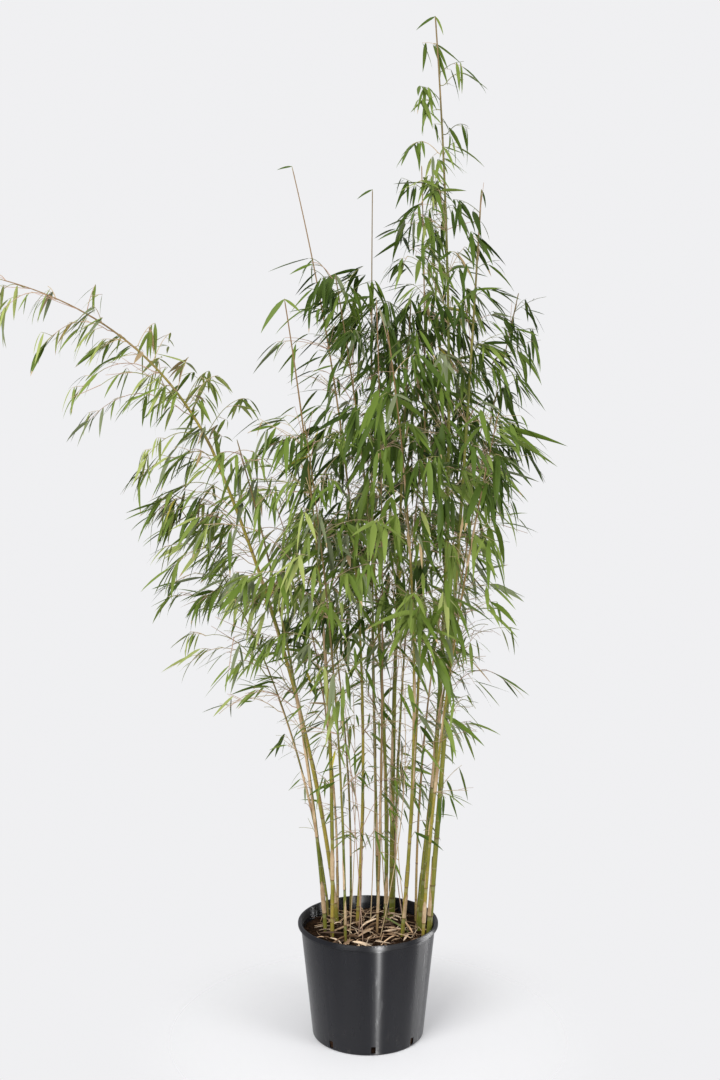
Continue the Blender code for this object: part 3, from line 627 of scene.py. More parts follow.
def culm_material(tint):
    """Fresh wood that runs from one colour to another along its joints, each with a brown ring."""
    main, other, ring, thin = CULM_COLOURS[tint]
    made, tree = new_material(f"{tint}_culm")
    stalk = add_node(tree, "Attribute", attribute_name="stalk").outputs["Vector"]
    from_joint, radius, _ = add_node(tree, "SeparateXYZ", stalk).outputs
    colour = mottled(tree, main, other, Scale=9.0, Detail=2.0, Low=0.36, High=0.62, Stretch=(3.0, 3.0, 1.0))
    streaks = mottled(tree, Scale=1.0, Detail=3.0, Low=0.45, High=0.85, Stretch=(900, 900, 14))
    blotches = mottled(tree, Scale=30.0, Detail=6.0, Low=0.60, High=0.70, Stretch=(2.0, 2.0, 0.6))
    bloom = banded(tree, from_joint, middle=-0.0075, half_width=0.0065)
    layers = (
        (streaks, tuple(STREAK_SHADE * part for part in main)),
        (calc(tree, "MULTIPLY", bloom, BLOOM_SHARE), BLOOM_COLOUR),
        (ranged(tree, radius, From_Min=THICK_RADIUS, From_Max=THIN_RADIUS), thin),
        (banded(tree, from_joint, middle=-0.0006, half_width=0.0022), ring),
        (calc(tree, "MULTIPLY", blotches, BLOTCH_SHARE), BLOTCH_COLOUR),
    )
    for mask, over in layers:
        colour = mixed(tree, mask, colour, over)
    shade(tree, Base_Color=colour, Roughness=ranged(tree, streaks, To_Min=0.38, To_Max=0.60),
          Normal=bumped(tree, streaks, 0.25, 0.0003), Specular_IOR_Level=0.32)
    return made


SHEATH_PALE = (0.660, 0.490, 0.300)
SHEATH_DARK = (0.470, 0.325, 0.170)
SHEATH_BROWN = (0.320, 0.200, 0.095)


def sheath_material():
    made, tree = new_material("dry_sheath")
    fibres = {"Scale": 1.0, "Detail": 4.0, "Low": 0.36, "High": 0.66, "Stretch": (700, 700, 18)}
    streaks = mottled(tree, SHEATH_PALE, SHEATH_DARK, **fibres)
    patches = mottled(tree, Scale=26.0, Detail=3.0, Low=0.42, High=0.70)
    shade(tree, Base_Color=mixed(tree, patches, streaks, SHEATH_BROWN),
          Roughness=0.72, Normal=bumped(tree, mottled(tree, **fibres), 0.4, 0.0004), Sheen_Weight=0.1)
    return made


def plain_materials(colours, **values):
    """One material for each plain colour, in the table's order."""
    finish = []
    for name, colour in colours.items():
        made, tree = new_material(name)
        shade(tree, Base_Color=colour, **values)
        finish.append(made)
    return finish


# Modelling by operators.


def select_none():
    for obj in list(bpy.context.selected_objects):
        obj.select_set(False)


def make_active(obj):
    select_none()
    obj.select_set(True)
    bpy.context.view_layer.objects.active = obj


def start_edit(obj):
    """Opens the object's mesh for editing with nothing selected."""
    make_active(obj)
    bpy.ops.object.mode_set(mode="EDIT")
    bpy.ops.mesh.select_all(action="DESELECT")


def end_edit():
    bpy.ops.object.mode_set(mode="OBJECT")


def pick(obj, faces=None, edges=None):
    """Selects the faces or the edges of the mesh being edited that pass a test, and nothing else."""
    bpy.ops.mesh.select_mode(type="FACE" if faces else "EDGE")
    bpy.ops.mesh.select_all(action="DESELECT")
    bm = bmesh.from_edit_mesh(obj.data)
    for part in bm.faces if faces else bm.edges:
        part.select_set(bool((faces or edges)(part)))
    bmesh.update_edit_mesh(obj.data)


def finish_piece(obj, name, slot, *nodes, finish, smooth_angle=40):
    """Names the piece, puts its place in its mesh, gives it its materials and body, and hides its solids.
    """
    make_active(obj)
    obj.name = name
    obj.data.name = name
    bpy.ops.object.transform_apply(location=True, rotation=True, scale=True)
    if smooth_angle:
        bpy.ops.object.shade_smooth_by_angle(angle=math.radians(smooth_angle))
    for material in finish:
        obj.data.materials.append(material)
    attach(obj, "root")
    if nodes:
        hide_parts(*nodes)


def new_mesh(name, points, faces):
    mesh = bpy.data.meshes.new(name)
    mesh.from_pydata(points, [], faces)
    return mesh


def add_made(mesh, slot, *nodes, **values):
    """Makes an object of a mesh built from arrays, and finishes it as a piece."""
    obj = bpy.data.objects.new(mesh.name, mesh)
    bpy.context.scene.collection.objects.link(obj)
    finish_piece(obj, mesh.name, slot, *nodes, **values)


def apply_modifiers(obj):
    make_active(obj)
    for modifier in list(obj.modifiers):
        bpy.ops.object.modifier_apply(modifier=modifier.name)


# Pot.


def wall_radius(height):
    """Outer radius of the pot's straight wall at a height, under the lip."""
    top = POT_RIM_RADIUS - LIP_DEPTH
    return POT_FOOT_RADIUS + (top - POT_FOOT_RADIUS) * height / POT_HEIGHT


def scale_ring(factor):
    bpy.ops.transform.resize(value=(factor, factor, 1.0), center_override=(0, 0, 0))


def extrude_ring(rise, factor):
    """Extrudes the selected face up or down and then widens or narrows it."""
    bpy.ops.mesh.extrude_region_move(TRANSFORM_OT_translate={"value": (0, 0, rise)})
    scale_ring(factor)


def start_cylinder(sides, radius, low, high):
    """An upright cylinder between two heights, with its top picked for editing."""
    bpy.ops.mesh.primitive_cylinder_add(
        vertices=sides, radius=radius, depth=high - low, location=(0, 0, (high + low) / 2))
    made = bpy.context.object
    bpy.ops.object.transform_apply(location=True)
    start_edit(made)
    pick(made, faces=lambda face: face.normal.z > 0.5)
    return made


def round_edges(obj, height, radius, width, steps):
    """Bevels the rings of edges at a height, from the one of a radius outwards."""
    pick(obj, edges=lambda edge: all(
        abs(v.co.z - height) < 1e-5 and v.co.xy.length > radius - 0.001 for v in edge.verts))
    bpy.ops.mesh.bevel(offset=width, segments=steps, affect="EDGES", profile=0.5)


def build_pot():
    lip_foot = POT_HEIGHT - LIP_HEIGHT
    pot = start_cylinder(POT_SIDES, POT_FOOT_RADIUS, 0, lip_foot)
    scale_ring(wall_radius(lip_foot) / POT_FOOT_RADIUS)
    extrude_ring(0, POT_RIM_RADIUS / wall_radius(lip_foot))
    extrude_ring(LIP_HEIGHT, 1.0)
    inner = wall_radius(POT_HEIGHT) - POT_WALL
    extrude_ring(0, inner / POT_RIM_RADIUS)
    extrude_ring(POT_FLOOR - POT_HEIGHT, (wall_radius(POT_FLOOR) - POT_WALL) / inner)
    round_edges(pot, POT_HEIGHT, inner, LIP_ROUND, steps=7)
    round_edges(pot, lip_foot, POT_RIM_RADIUS, UNDER_LIP_ROUND, steps=6)
    round_edges(pot, 0.0, POT_FOOT_RADIUS, FOOT_ROUND, steps=5)
    end_edit()
    for number in range(SLOT_COUNT):
        angle = SLOT_TURN + math.tau * number / SLOT_COUNT - math.pi / 2
        place = (POT_FOOT_RADIUS * math.cos(angle), POT_FOOT_RADIUS * math.sin(angle), SLOT_MIDDLE)
        bpy.ops.mesh.primitive_cube_add(size=1.0, location=place, rotation=(0, 0, angle))
        cutter = bpy.context.object
        cutter.scale = SLOT_SIZE
        cut = pot.modifiers.new("slot", "BOOLEAN")
        cut.object = cutter
        apply_modifiers(pot)
        bpy.data.objects.remove(cutter, do_unlink=True)
    finish_piece(pot, "pot_shell", "pot", "pot", finish=[pot_material()], smooth_angle=32)


# Soil.


def ground(x, y):
    """Height of the soil's surface."""
    near_wall = max(0.0, math.hypot(x, y) / SOIL_RADIUS - WALL_FROM)
    waves = math.sin(31 * x + 1.3) * math.sin(27 * y + 0.4) + 0.6 * math.sin(63 * x - 41 * y)
    return SOIL_TOP - SOIL_DIP + SOIL_WAVES * waves - WALL_DIP * near_wall


def random_spot(margin):
    """A place on the soil, at least a margin inside its edge."""
    radius = (SOIL_RADIUS - margin) * math.sqrt(rng.random())
    angle = rng.uniform(0, math.tau)
    return radius * math.cos(angle), radius * math.sin(angle)


def build_soil():
    soil = start_cylinder(SOIL_SIDES, SOIL_RADIUS, SOIL_FOOT, SOIL_TOP)
    for ring in range(SOIL_RINGS - 1):
        extrude_ring(0, (SOIL_RINGS - ring - 1) / (SOIL_RINGS - ring))
    bpy.ops.mesh.merge(type="CENTER")
    pick(soil, faces=lambda face: face.normal.z < -0.5)
    scale_ring((wall_radius(SOIL_FOOT) - POT_WALL - SOIL_GAP) / SOIL_RADIUS)
    end_edit()
    top = SOIL_TOP - 1e-4
    for vertex in soil.data.vertices:
        if vertex.co.z > top:
            vertex.co.z = ground(vertex.co.x, vertex.co.y)
    for size, strength in SOIL_RELIEF:
        grain = bpy.data.textures.new("grain", "CLOUDS")
        grain.noise_scale = size
        grain.noise_depth = 3
        relief = soil.modifiers.new("relief", "DISPLACE")
        relief.texture = grain
        relief.texture_coords = "LOCAL"
        relief.strength = strength
        relief.mid_level = 0.5
        relief.direction = "Z"
    apply_modifiers(soil)
    finish_piece(soil, "soil_surface", "soil", "soil", finish=[SOIL_MATERIAL], smooth_angle=60)


def build_lumps():
    """Rough lumps of soil: a cube's corners, pushed about."""
    corners = np.array([(x, y, z) for x in (-1, 1) for y in (-1, 1) for z in (-1, 1)], float) / 1.7
    faces = [(0, 1, 3, 2), (4, 6, 7, 5), (0, 4, 5, 1), (2, 3, 7, 6), (0, 2, 6, 4), (1, 5, 7, 3)]
    points, lists = [], []
    numbers = np.random.default_rng(SEED)
    for number in range(LUMP_COUNT):
        x, y = random_spot(LUMP_MARGIN)
        size = rng.uniform(*LUMP_SIZE) * rng.uniform(0.5, 1.0)
        shape = corners * numbers.uniform(*LUMP_UNEVEN, corners.shape) * size
        turn = np.array(Matrix.Rotation(rng.uniform(0, math.tau), 3, "Z"))
        points.append(shape @ turn.T + (x, y, ground(x, y) + size * LUMP_RISE))
        lists += [[len(corners) * number + i for i in face] for face in faces]
    mesh = new_mesh("soil_lumps", np.concatenate(points).tolist(), lists)
    add_made(mesh, "soil", finish=[SOIL_MATERIAL])


# Curves that culms and stems follow.


class Path:
    """A line through points, read by the distance along it."""

    def __init__(self, points):
        self.points = np.array([tuple(point) for point in points])
        steps = np.linalg.norm(np.diff(self.points, axis=0), axis=1)
        self.marks = np.concatenate([[0.0], np.cumsum(steps)])
        self.length = float(self.marks[-1])

    def at(self, distance):
        return Vector([float(np.interp(distance, self.marks, self.points[:, i])) for i in range(3)])

    def along(self, distance, step=0.004):
        low = max(0.0, distance - step)
        high = min(self.length, distance + step)
        return (self.at(high) - self.at(low)).normalized()


def arc(foot, middle, tip, steps, end=1.0):
    """The parabola from one point, through a second, to a third or to a share of the way."""
    points = []
    for step in range(steps + 1):
        share = end * step / steps
        before = foot * ((1 - share) * (1 - 2 * share))
        points.append(before + middle * (4 * share * (1 - share)) + tip * (share * (2 * share - 1)))
    return points


def read_limbs():
    """Every limb by name, with its three points as vectors."""
    limbs = {}
    for row in CULMS + (ARCH_LOWER, ARCH_UPPER):
        foot = row.foot and Vector((*row.foot, SOIL_TOP))
        limbs[row.name] = row._replace(foot=foot, middle=Vector(row.middle), tip=Vector(row.tip))
    bend = limbs[ARCH_LOWER.name].tip
    limbs[ARCH_UPPER.name] = limbs[ARCH_UPPER.name]._replace(foot=bend)
    return limbs


def limb_path(limb):
    end = ARCH_END if limb.name == ARCH_UPPER.name else 1.0
    return Path(arc(limb.foot, limb.middle, limb.tip, 160, end))


def limb_radius(limb, share):
    tip_share = BEND_SHARE if limb.name == ARCH_LOWER.name else CULM_TIP_SHARE
    radius = limb.width / 2 * (1 - (1 - tip_share) * share)
    return max(radius, CULM_LEAST_RADIUS)


def joint_places(limb, path):
    """Distances along the limb of its joints."""
    places = []
    place = FIRST_JOINT
    while place < path.length - LAST_JOINT:
        places.append(place)
        share = place / path.length
        if limb.name == ARCH_UPPER.name:
            share = ARCH_JOINTS_FROM + (1 - ARCH_JOINTS_FROM) * share
        step = np.interp(share, *zip(*JOINT_STEPS))
        place += float(step) * rng.uniform(1 - JOINT_SPREAD, 1 + JOINT_SPREAD)
    return places


# Culms.


def extrude_curve(points, radii):
    """A curve grown point by point from a path's first point, with a radius at each."""
    bpy.ops.curve.primitive_nurbs_path_add(location=(0, 0, 0))
    curve = bpy.context.object
    bpy.ops.object.mode_set(mode="EDIT")
    bpy.ops.curve.select_all(action="SELECT")
    bpy.ops.curve.spline_type_set(type="POLY")
    bpy.ops.curve.select_all(action="DESELECT")
    for point in curve.data.splines[0].points[1:]:
        point.select = True
    bpy.ops.curve.delete(type="VERT")
    first = curve.data.splines[0].points[0]
    first.co = (*points[0], 1.0)
    first.select = True
    bpy.ops.curve.radius_set(radius=radii[0])
    for before, point, radius in zip(points, points[1:], radii[1:]):
        bpy.ops.curve.extrude_move(TRANSFORM_OT_translate={"value": point - before})
        bpy.ops.curve.radius_set(radius=radius)
    end_edit()
    return curve


def culm_stations(limb, path, joints):
    """Distances along a culm, with the share of its radius and the distance from a joint at each."""
    start = -CULM_SUNK if limb.name != ARCH_UPPER.name else 0.0
    marks = [(start, 1.0, start - joints[0])]
    for number, joint in enumerate(joints):
        marks += [(joint + offset, share, offset) for offset, share in JOINT_OUTLINE]
        end = joints[number + 1] if number + 1 < len(joints) else path.length
        marks += [(joint + (end - joint) * part, 1.0, (end - joint) * (part if part < 0.5 else part - 1))
                  for part in (0.25, 0.5, 0.75)]
    end_share = 1.0 if limb.name == ARCH_LOWER.name else CUT_SHARE
    marks.append((path.length, end_share, path.length - joints[-1]))
    return sorted(marks)


def build_culm(limb, path, joints, material):
    marks = culm_stations(limb, path, joints)
    points = []
    radii = []
    for distance, share, _ in marks:
        inside = path.at(max(0.0, distance))
        if distance < 0:
            inside.z += distance
        points.append(inside)
        radii.append(limb_radius(limb, max(0.0, distance) / path.length) * share)
    curve = extrude_curve(points, radii)
    curve.data.bevel_depth = 1.0
    curve.data.bevel_resolution = CULM_SIDES // 2 - 2
    curve.data.use_fill_caps = True
    bpy.ops.object.convert(target="MESH")
    culm = bpy.context.object
    note_stalk(culm.data, marks, radii)
    start_edit(culm)
    bpy.ops.mesh.select_all(action="SELECT")
    bpy.ops.mesh.remove_doubles(threshold=1e-5)
    bpy.ops.mesh.normals_make_consistent(inside=False)
    end_edit()
    name, slot = f"{limb.name}_skin", f"culm_{limb.tint}"
    finish_piece(culm, name, slot, limb.name, finish=[material], smooth_angle=60)


def note_stalk(mesh, marks, radii):
    """Writes on each vertex its distance from the nearest joint and the culm's radius."""
    away = np.array([mark[2] for mark in marks])
    sides = len(mesh.vertices) // (len(marks) + 2)
    ring = np.arange(len(mesh.vertices)) // sides - 2
    ring[ring == -2] = 0
    ring[ring == -1] = len(marks) - 1
    values = np.zeros((len(mesh.vertices), 3), np.float32)
    values[:, 0] = away[ring]
    values[:, 1] = np.array(radii)[ring]
    stalk = mesh.attributes.new("stalk", "FLOAT_VECTOR", "POINT")
    stalk.data.foreach_set("vector", values.ravel())


# Dry sheaths that still clasp the culms above their joints.


SHEATH_ROWS = 7
SHEATH_COLUMNS = 8
# How likely a joint is to have one, below each height.
SHEATH_CHANCES = ((0.75, 0.75), (1.3, 0.30), (math.inf, 0.10))
SHEATH_REACH = (0.55, 1.05)
SHEATH_WRAP = (1.2, 4.0)
SHEATH_RISE = 0.0005
SHEATH_NARROWS = 0.94
SHEATH_WIDER = 1.06
SHEATH_GAP = 0.0003
SHEATH_TIP_GAP = 0.0010


def sheath_points(limb, path, joint, reach, turn, wrap):
    """A sheet that clasps the culm from a joint upwards and narrows to a point."""
    rows = []
    for row in range(SHEATH_ROWS + 1):
        part = row / SHEATH_ROWS
        distance = joint + SHEATH_RISE + reach * part
        place = min(distance, path.length)
        middle, along = path.at(place), path.along(place)
        side = along.cross(Vector((0.3, 1.0, 0.1))).normalized()
        width = wrap * (1 - part ** 3 * SHEATH_NARROWS)
        clear = SHEATH_GAP + SHEATH_TIP_GAP * part ** 3
        radius = limb_radius(limb, distance / path.length) * SHEATH_WIDER + clear
        line = []
        for column in range(SHEATH_COLUMNS + 1):
            angle = turn + width * (column / SHEATH_COLUMNS - 0.5)
            line.append(middle + Matrix.Rotation(angle, 3, along) @ side * radius)
        rows.append(line)
    return rows


def build_sheaths(limbs, paths, joints):
    points, faces = [], []
    for name, limb in limbs.items():
        path = paths[name]
        for joint, after in zip(joints[name], joints[name][1:]):
            height = path.at(joint).z
            chance = next(chance for top, chance in SHEATH_CHANCES if height < top)
            if rng.random() > chance or name == ARCH_UPPER.name:
                continue
            reach = (after - joint) * rng.uniform(*SHEATH_REACH)
            wrap = rng.uniform(*SHEATH_WRAP)
            start = len(points)
            for line in sheath_points(limb, path, joint, reach, rng.uniform(0, math.tau), wrap):
                points += [tuple(point) for point in line]
            across = SHEATH_COLUMNS + 1
            for row in range(SHEATH_ROWS):
                for column in range(SHEATH_COLUMNS):
                    corner = start + row * across + column
                    faces.append((corner, corner + 1, corner + across + 1, corner + across))
    mesh = new_mesh("culm_sheaths", points, faces)
    add_made(mesh, "culm_tan", finish=[sheath_material()], smooth_angle=60)


# Foliage: rows of numbers that become joined meshes.


class Growth:
    """Twigs and leaves, kept as rows until they are made into two meshes."""

    def __init__(self):
        self.twigs = []
        self.twig_radii = []
        self.twig_tones = []
        self.roots = []
        self.directions = []
        self.shapes = []
        self.leaf_tones = []
        self.dry_tips = []

    def twig(self, points, radii, tone):
        self.twigs.append([tuple(point) for point in points])
        self.twig_radii.append(radii)
        self.twig_tones.append(tone)

    def leaf(self, root, direction, length, tone, dry_chance):
        tip = root + direction * length
        if not inside_crown(tip) or is_open(tip):
            return
        width = length * rng.uniform(*LEAF_WIDTH_SHARE)
        roll = rng.gauss(0, LEAF_ROLL)
        twist = rng.uniform(-LEAF_TWIST, LEAF_TWIST)
        shape = (length, width, rng.uniform(*LEAF_BEND), roll, twist, rng.uniform(*LEAF_FOLD))
        self.put(root, direction, shape, tone, rng.random() < dry_chance)

    def put(self, root, direction, shape, tone, dry_tip=False):
        """Adds a leaf of a length, width, bend, roll, twist and fold."""
        self.roots.append(tuple(root))
        self.directions.append(tuple(direction))
        self.shapes.append(shape)
        self.leaf_tones.append(tone)
        self.dry_tips.append(dry_tip)


def inside_crown(point):
    return all(low <= x <= high for low, x, high in zip(CROWN_LOW, point, CROWN_HIGH))


def is_open(point):
    """Whether a leaf at this place is left out because the crown is open there."""
    scale = VIEW_FROM.y / (VIEW_FROM.y - point.y)
    x = VIEW_FROM.x + (point.x - VIEW_FROM.x) * scale
    z = VIEW_FROM.z + (point.z - VIEW_FROM.z) * scale
    for middle_x, middle_z, half_x, half_z, kept in OPEN_PLACES:
        away = math.hypot((x - middle_x) / half_x, (z - middle_z) / half_z)
        if away < 1:
            return rng.random() < (1 - kept) * (1 - away ** 3)
    return False


def rows(values):
    return np.array(values, float)


def unit(vectors):
    return vectors / np.maximum(np.linalg.norm(vectors, axis=-1, keepdims=True), 1e-9)


def leaf_mesh(name, growth):
    """All the leaves as one mesh: each bends down along an arc and folds up from its midrib."""
    root = rows(growth.roots)
    ahead = unit(rows(growth.directions))
    length, width, bend, roll, twist, fold = rows(growth.shapes).T[:, :, None]
    side = unit(np.cross(ahead, (0.0, 0.0, 1.0)))
    up = np.cross(side, ahead)
    left, middle, right = [], [], []
    for place, half in LEAF_OUTLINE:
        angle = bend * place
        centre = root + length * (np.sin(angle) / bend * ahead - (1 - np.cos(angle)) / bend * up)
        back = np.cos(angle) * up + np.sin(angle) * ahead
        lean = roll + twist * place
        across = np.cos(lean) * side + np.sin(lean) * back
        raised = np.cos(lean) * back - np.sin(lean) * side
        reach = width / 2 * half
        middle.append(centre)
        left.append(centre - across * reach + raised * reach * fold)
        right.append(centre + across * reach + raised * reach * fold)
    columns = [middle[0]]
    for number in range(1, len(LEAF_OUTLINE) - 1):
        columns += [left[number], middle[number], right[number]]
    columns.append(middle[-1])
    points = np.stack(columns, axis=1)
    count, each = points.shape[:2]
    faces = [(0, 2, 1), (0, 3, 2)]
    for number in range(len(LEAF_OUTLINE) - 3):
        first = 1 + 3 * number
        faces += [(first, first + 1, first + 4, first + 3), (first + 1, first + 2, first + 5, first + 4)]
    last = each - 4
    faces += [(last, last + 1, each - 1), (last + 1, last + 2, each - 1)]
    tones = np.repeat(np.array(growth.leaf_tones)[:, None], len(faces), axis=1)
    tones[np.array(growth.dry_tips), -2:] = STRAW
    return joined_mesh(name, points.reshape(-1, 3), faces, count, each, tones)


def joined_mesh(name, points, faces, count, each, tones):
    """One mesh of many copies of the same faces, each with its own points and materials."""
    lists = [[start + i for i in face] for start in range(0, count * each, each) for face in faces]
    mesh = new_mesh(name, points.tolist(), lists)
    mesh.polygons.foreach_set("use_smooth", [True] * len(lists))
    mesh.polygons.foreach_set("material_index", np.ravel(tones).tolist())
    return mesh


def twig_mesh(name, growth):
    """All the twigs as one mesh of three-sided tubes that end in a point."""
    points = rows(growth.twigs)
    radii = rows(growth.twig_radii)[:, :, None]
    ahead = unit(np.gradient(points, axis=1))
    side = unit(np.cross(ahead, (0.31, 0.17, 0.93)))
    other = np.cross(ahead, side)
    corners = []
    for number in range(3):
        angle = math.tau * number / 3
        corners.append(points + radii * (math.cos(angle) * side + math.sin(angle) * other))
    rings = np.stack(corners, axis=2)
    count, steps = rings.shape[:2]
    faces = []
    for step in range(steps - 1):
        for number in range(3):
            low = step * 3 + number
            low_next = step * 3 + (number + 1) % 3
            faces.append((low, low_next, low_next + 3, low + 3))
    end = (steps - 1) * 3
    faces.append((end, end + 1, end + 2))
    tones = np.repeat(growth.twig_tones, len(faces))
    return joined_mesh(name, rings.reshape(-1, 3), faces, count, steps * 3, tones)


def pick_tone(mix):
    return rng.choices(range(len(LEAF_MIXES[mix])), LEAF_MIXES[mix])[0]


def pick_twig_tone(mix):
    return rng.choices(range(len(TWIG_TONES)), TWIG_MIXES[mix])[0]


def taper(radii, share=1.0):
    """The radius at each point of a twig, from its root to its end."""
    return np.linspace(*radii, BRANCHLET_POINTS) * share


def scaled(lengths, share):
    return tuple(length * share for length in lengths)


def outward_from(point):
    """The level direction from the clump's middle line to a point."""
    heights, xs, ys = zip(*CLUMP_LINE)
    middle = Vector((np.interp(point.z, heights, xs), np.interp(point.z, heights, ys), point.z))
    return level(point - middle)


def flat(vector):
    """The vector's part over the ground."""
    return Vector((vector.x, vector.y, 0))


def level(vector):
    """The vector's direction over the ground."""
    part = flat(vector)
    return part.normalized() if part.length > 1e-6 else part


def turned(heading, yaw, drop):
    """A direction at an angle from a level heading, dropped below the horizontal."""
    angle = math.atan2(heading.y, heading.x) + yaw
    return Vector((math.cos(angle) * math.cos(drop), math.sin(angle) * math.cos(drop), -math.sin(drop)))


def bowed(root, direction, length, sag):
    """Points of a twig that sets off one way and bows over towards the ground."""
    points = [root]
    out = flat(direction)
    for step in range(1, BRANCHLET_POINTS):
        pull = (step / (BRANCHLET_POINTS - 1)) ** 1.5 * sag
        bent = (direction + (out * 0.5 - Vector((0, 0, 1))) * pull).normalized()
        points.append(points[-1] + bent * length / (BRANCHLET_POINTS - 1))
    return points


def grow_tuft(growth, sprig, heading, drop, count, lengths, tone, mix):
    """Leaves from the outer part of a sprig, to one side and the other, that hang the same way."""
    least, usual, most = lengths
    for number in range(count):
        root = sprig[-1 - min(number, len(sprig) - 1)]
        side = (0, 1, -1)[number % 3]
        yaw = LEAF_YAW * side + rng.gauss(0, LEAF_YAW_SPREAD)
        least_drop, most_drop = LEAF_DROP_LIMITS
        fall = min(max(drop + rng.gauss(0, LEAF_DROP_SPREAD), least_drop), most_drop)
        own = pick_tone(mix) if rng.random() < ODD_LEAF_CHANCE else tone
        if rng.random() < GONE_CHANCE[mix]:
            own = rng.choice(GONE_TONES)
        way = turned(heading, yaw, fall)
        growth.leaf(root, way, rng.triangular(least, most, usual), own, DRY_TIP_CHANCE[mix])


def dress(growth, path, lean, mix, lengths, counts=LEAVES_PER_TUFT, start=TUFT_FROM, drop=None):
    """Tufts of leaves at both sides of a thin branch, and one at its end."""
    steps = max(1, round(path.length * (1 - start) / TUFT_STEP))
    outward = outward_from(path.at(0))
    hang = math.radians(np.interp(path.at(0).z, *zip(*LEAF_DROP)))
    usual = drop if drop is not None else rng.gauss(hang, LEAF_DROP_RANGE)
    tone = pick_tone(mix)
    side = rng.choice((-1, 1))
    for number in range(steps + 1):
        place = path.length * (start + (1 - start) * number / steps)
        root, along = path.at(place), path.along(place)
        heading = level(along) + lean * LEAN_PULL + outward * OUTWARD_PULL
        if heading.length < 1e-3:
            heading = outward
        sprig = [path.at(place - LEAF_GAP * step) for step in (2, 1, 0)]
        if number < steps:
            side = -side
            ahead = turned(level(along), side * SPRIG_YAW, rng.uniform(-SPRIG_TILT, SPRIG_TILT))
            sprig = bowed(root, ahead, rng.uniform(*SPRIG_LENGTH), SPRIG_SAG)
            growth.twig(sprig, taper(SPRIG_RADIUS, TWIG_WIDTHS[mix]), pick_twig_tone(mix))
        if rng.random() < NEW_TONE_CHANCE:
            tone = pick_tone(mix)
        count = rng.choice(counts) + (number == steps)
        yaw = side * rng.uniform(0, TUFT_YAW) * (number < steps)
        way = Matrix.Rotation(yaw, 3, "Z") @ heading
        grow_tuft(growth, sprig, way, usual + rng.gauss(0, TUFT_DROP_SPREAD), count, lengths, tone, mix)


def grow_shoot(growth, root, along, out):
    """A bare young shoot that stands up from a joint."""
    direction = (along + out * rng.uniform(*SHOOT_LEAN)).normalized()
    points = bowed(root, direction, rng.uniform(*SHOOT_LENGTH), 0.0)
    growth.twig(points, taper(BRANCHLET_RADIUS), TWIG_TONES.index("pink_twig"))


def mix_at(limb, height):
    others = LIGHT_MIXES if height < LIGHT_BELOW else DARK_MIXES
    return others.get(limb.name, limb.mix)


def grow_stem(growth, path, start, end, limb):
    """Branchlets all along a stem, shorter and fewer towards its tip."""
    turn = rng.uniform(0, math.tau)
    count = max(2, round((end - start) / NODE_STEP))
    lengths = scaled(LEAF_LENGTH, limb.leaf)
    for number in range(count):
        share = number / (count - 1)
        place = start + (end - start) * share
        root, along = path.at(place), path.along(place)
        side = along.orthogonal().normalized()
        lean = flat(along)
        wanted = BRANCHLETS * limb.leafy * (1 - FEWER_AT_TIP * share)
        for _ in range(int(wanted + rng.random())):
            turn += BRANCHLET_TURN + rng.uniform(-BRANCHLET_TURN_SPREAD, BRANCHLET_TURN_SPREAD)
            out = Matrix.Rotation(turn, 3, along) @ side
            if rng.random() < SHOOT_CHANCE:
                grow_shoot(growth, root, along, out)
                continue
            direction = (along * math.cos(BRANCHLET_ANGLE) + out * math.sin(BRANCHLET_ANGLE)).normalized()
            length = rng.uniform(*BRANCHLET_LENGTH) * limb.size * (1 - SHORTER_AT_TIP * share)
            points = bowed(root, direction, length, rng.uniform(*SAG))
            if is_open(points[-1]) or not inside_crown(points[-1]):
                continue
            mix = mix_at(limb, root.z)
            growth.twig(points, taper(BRANCHLET_RADIUS, TWIG_WIDTHS[mix]), pick_twig_tone(mix))
            dress(growth, Path(points), lean, mix, lengths)


def side_path(limb, path, height, heading, reach, rise):
    """The line of a branch at the culm's side: out, up in a bow, and to its end."""
    shares = np.arange(61) / 60
    heights = [path.at(path.length * share).z for share in shares]
    place = path.length * float(np.interp(height, heights, shares))
    out = turned(PLUS_X, math.radians(heading), 0)
    start = path.at(place) + out * limb_radius(limb, place / path.length) * BRANCH_ROOT_SHARE
    collar = start + out * BRANCH_COLLAR
    end = collar + out * reach + Vector((0, 0, rise))
    bow = collar.lerp(end, 0.5) + Vector((0, 0, reach * BRANCH_BOW))
    return Path([start, *arc(collar, bow, end, 8)])


def grow_low(growth, limb, path, joints):
    """Thin twigs with a few small leaves at the joints below the crown."""
    top = path.length * min(limb.bare, LOW_TO)
    for joint in joints:
        height = path.at(joint).z
        if height < LOW_FROM or joint > top:
            continue
        share = min(1.0, (height - LOW_FROM) / (LOW_FULL - LOW_FROM))
        wanted = LOW_TWIGS[0] + (LOW_TWIGS[1] - LOW_TWIGS[0]) * share
        along = path.along(joint)
        lengths = scaled(LOW_LEAF_LENGTH, 1 + LONGER_HIGH_UP * share)
        for _ in range(int(wanted + rng.random())):
            out = Matrix.Rotation(rng.uniform(0, math.tau), 3, along) @ along.orthogonal().normalized()
            angle = rng.uniform(*LOW_ANGLE)
            direction = along * math.cos(angle) + out * math.sin(angle)
            least, most = (a + (b - a) * share for a, b in zip(*LOW_TWIG_LENGTH))
            points = bowed(path.at(joint), direction, rng.uniform(least, most), rng.uniform(*LOW_SAG))
            growth.twig(points, taper(BRANCHLET_RADIUS), pick_twig_tone("low"))
            drop = rng.uniform(*LOW_DROP)
            dress(growth, Path(points), Vector(), "low", lengths, LOW_TUFT, LOW_TUFT_FROM, drop)


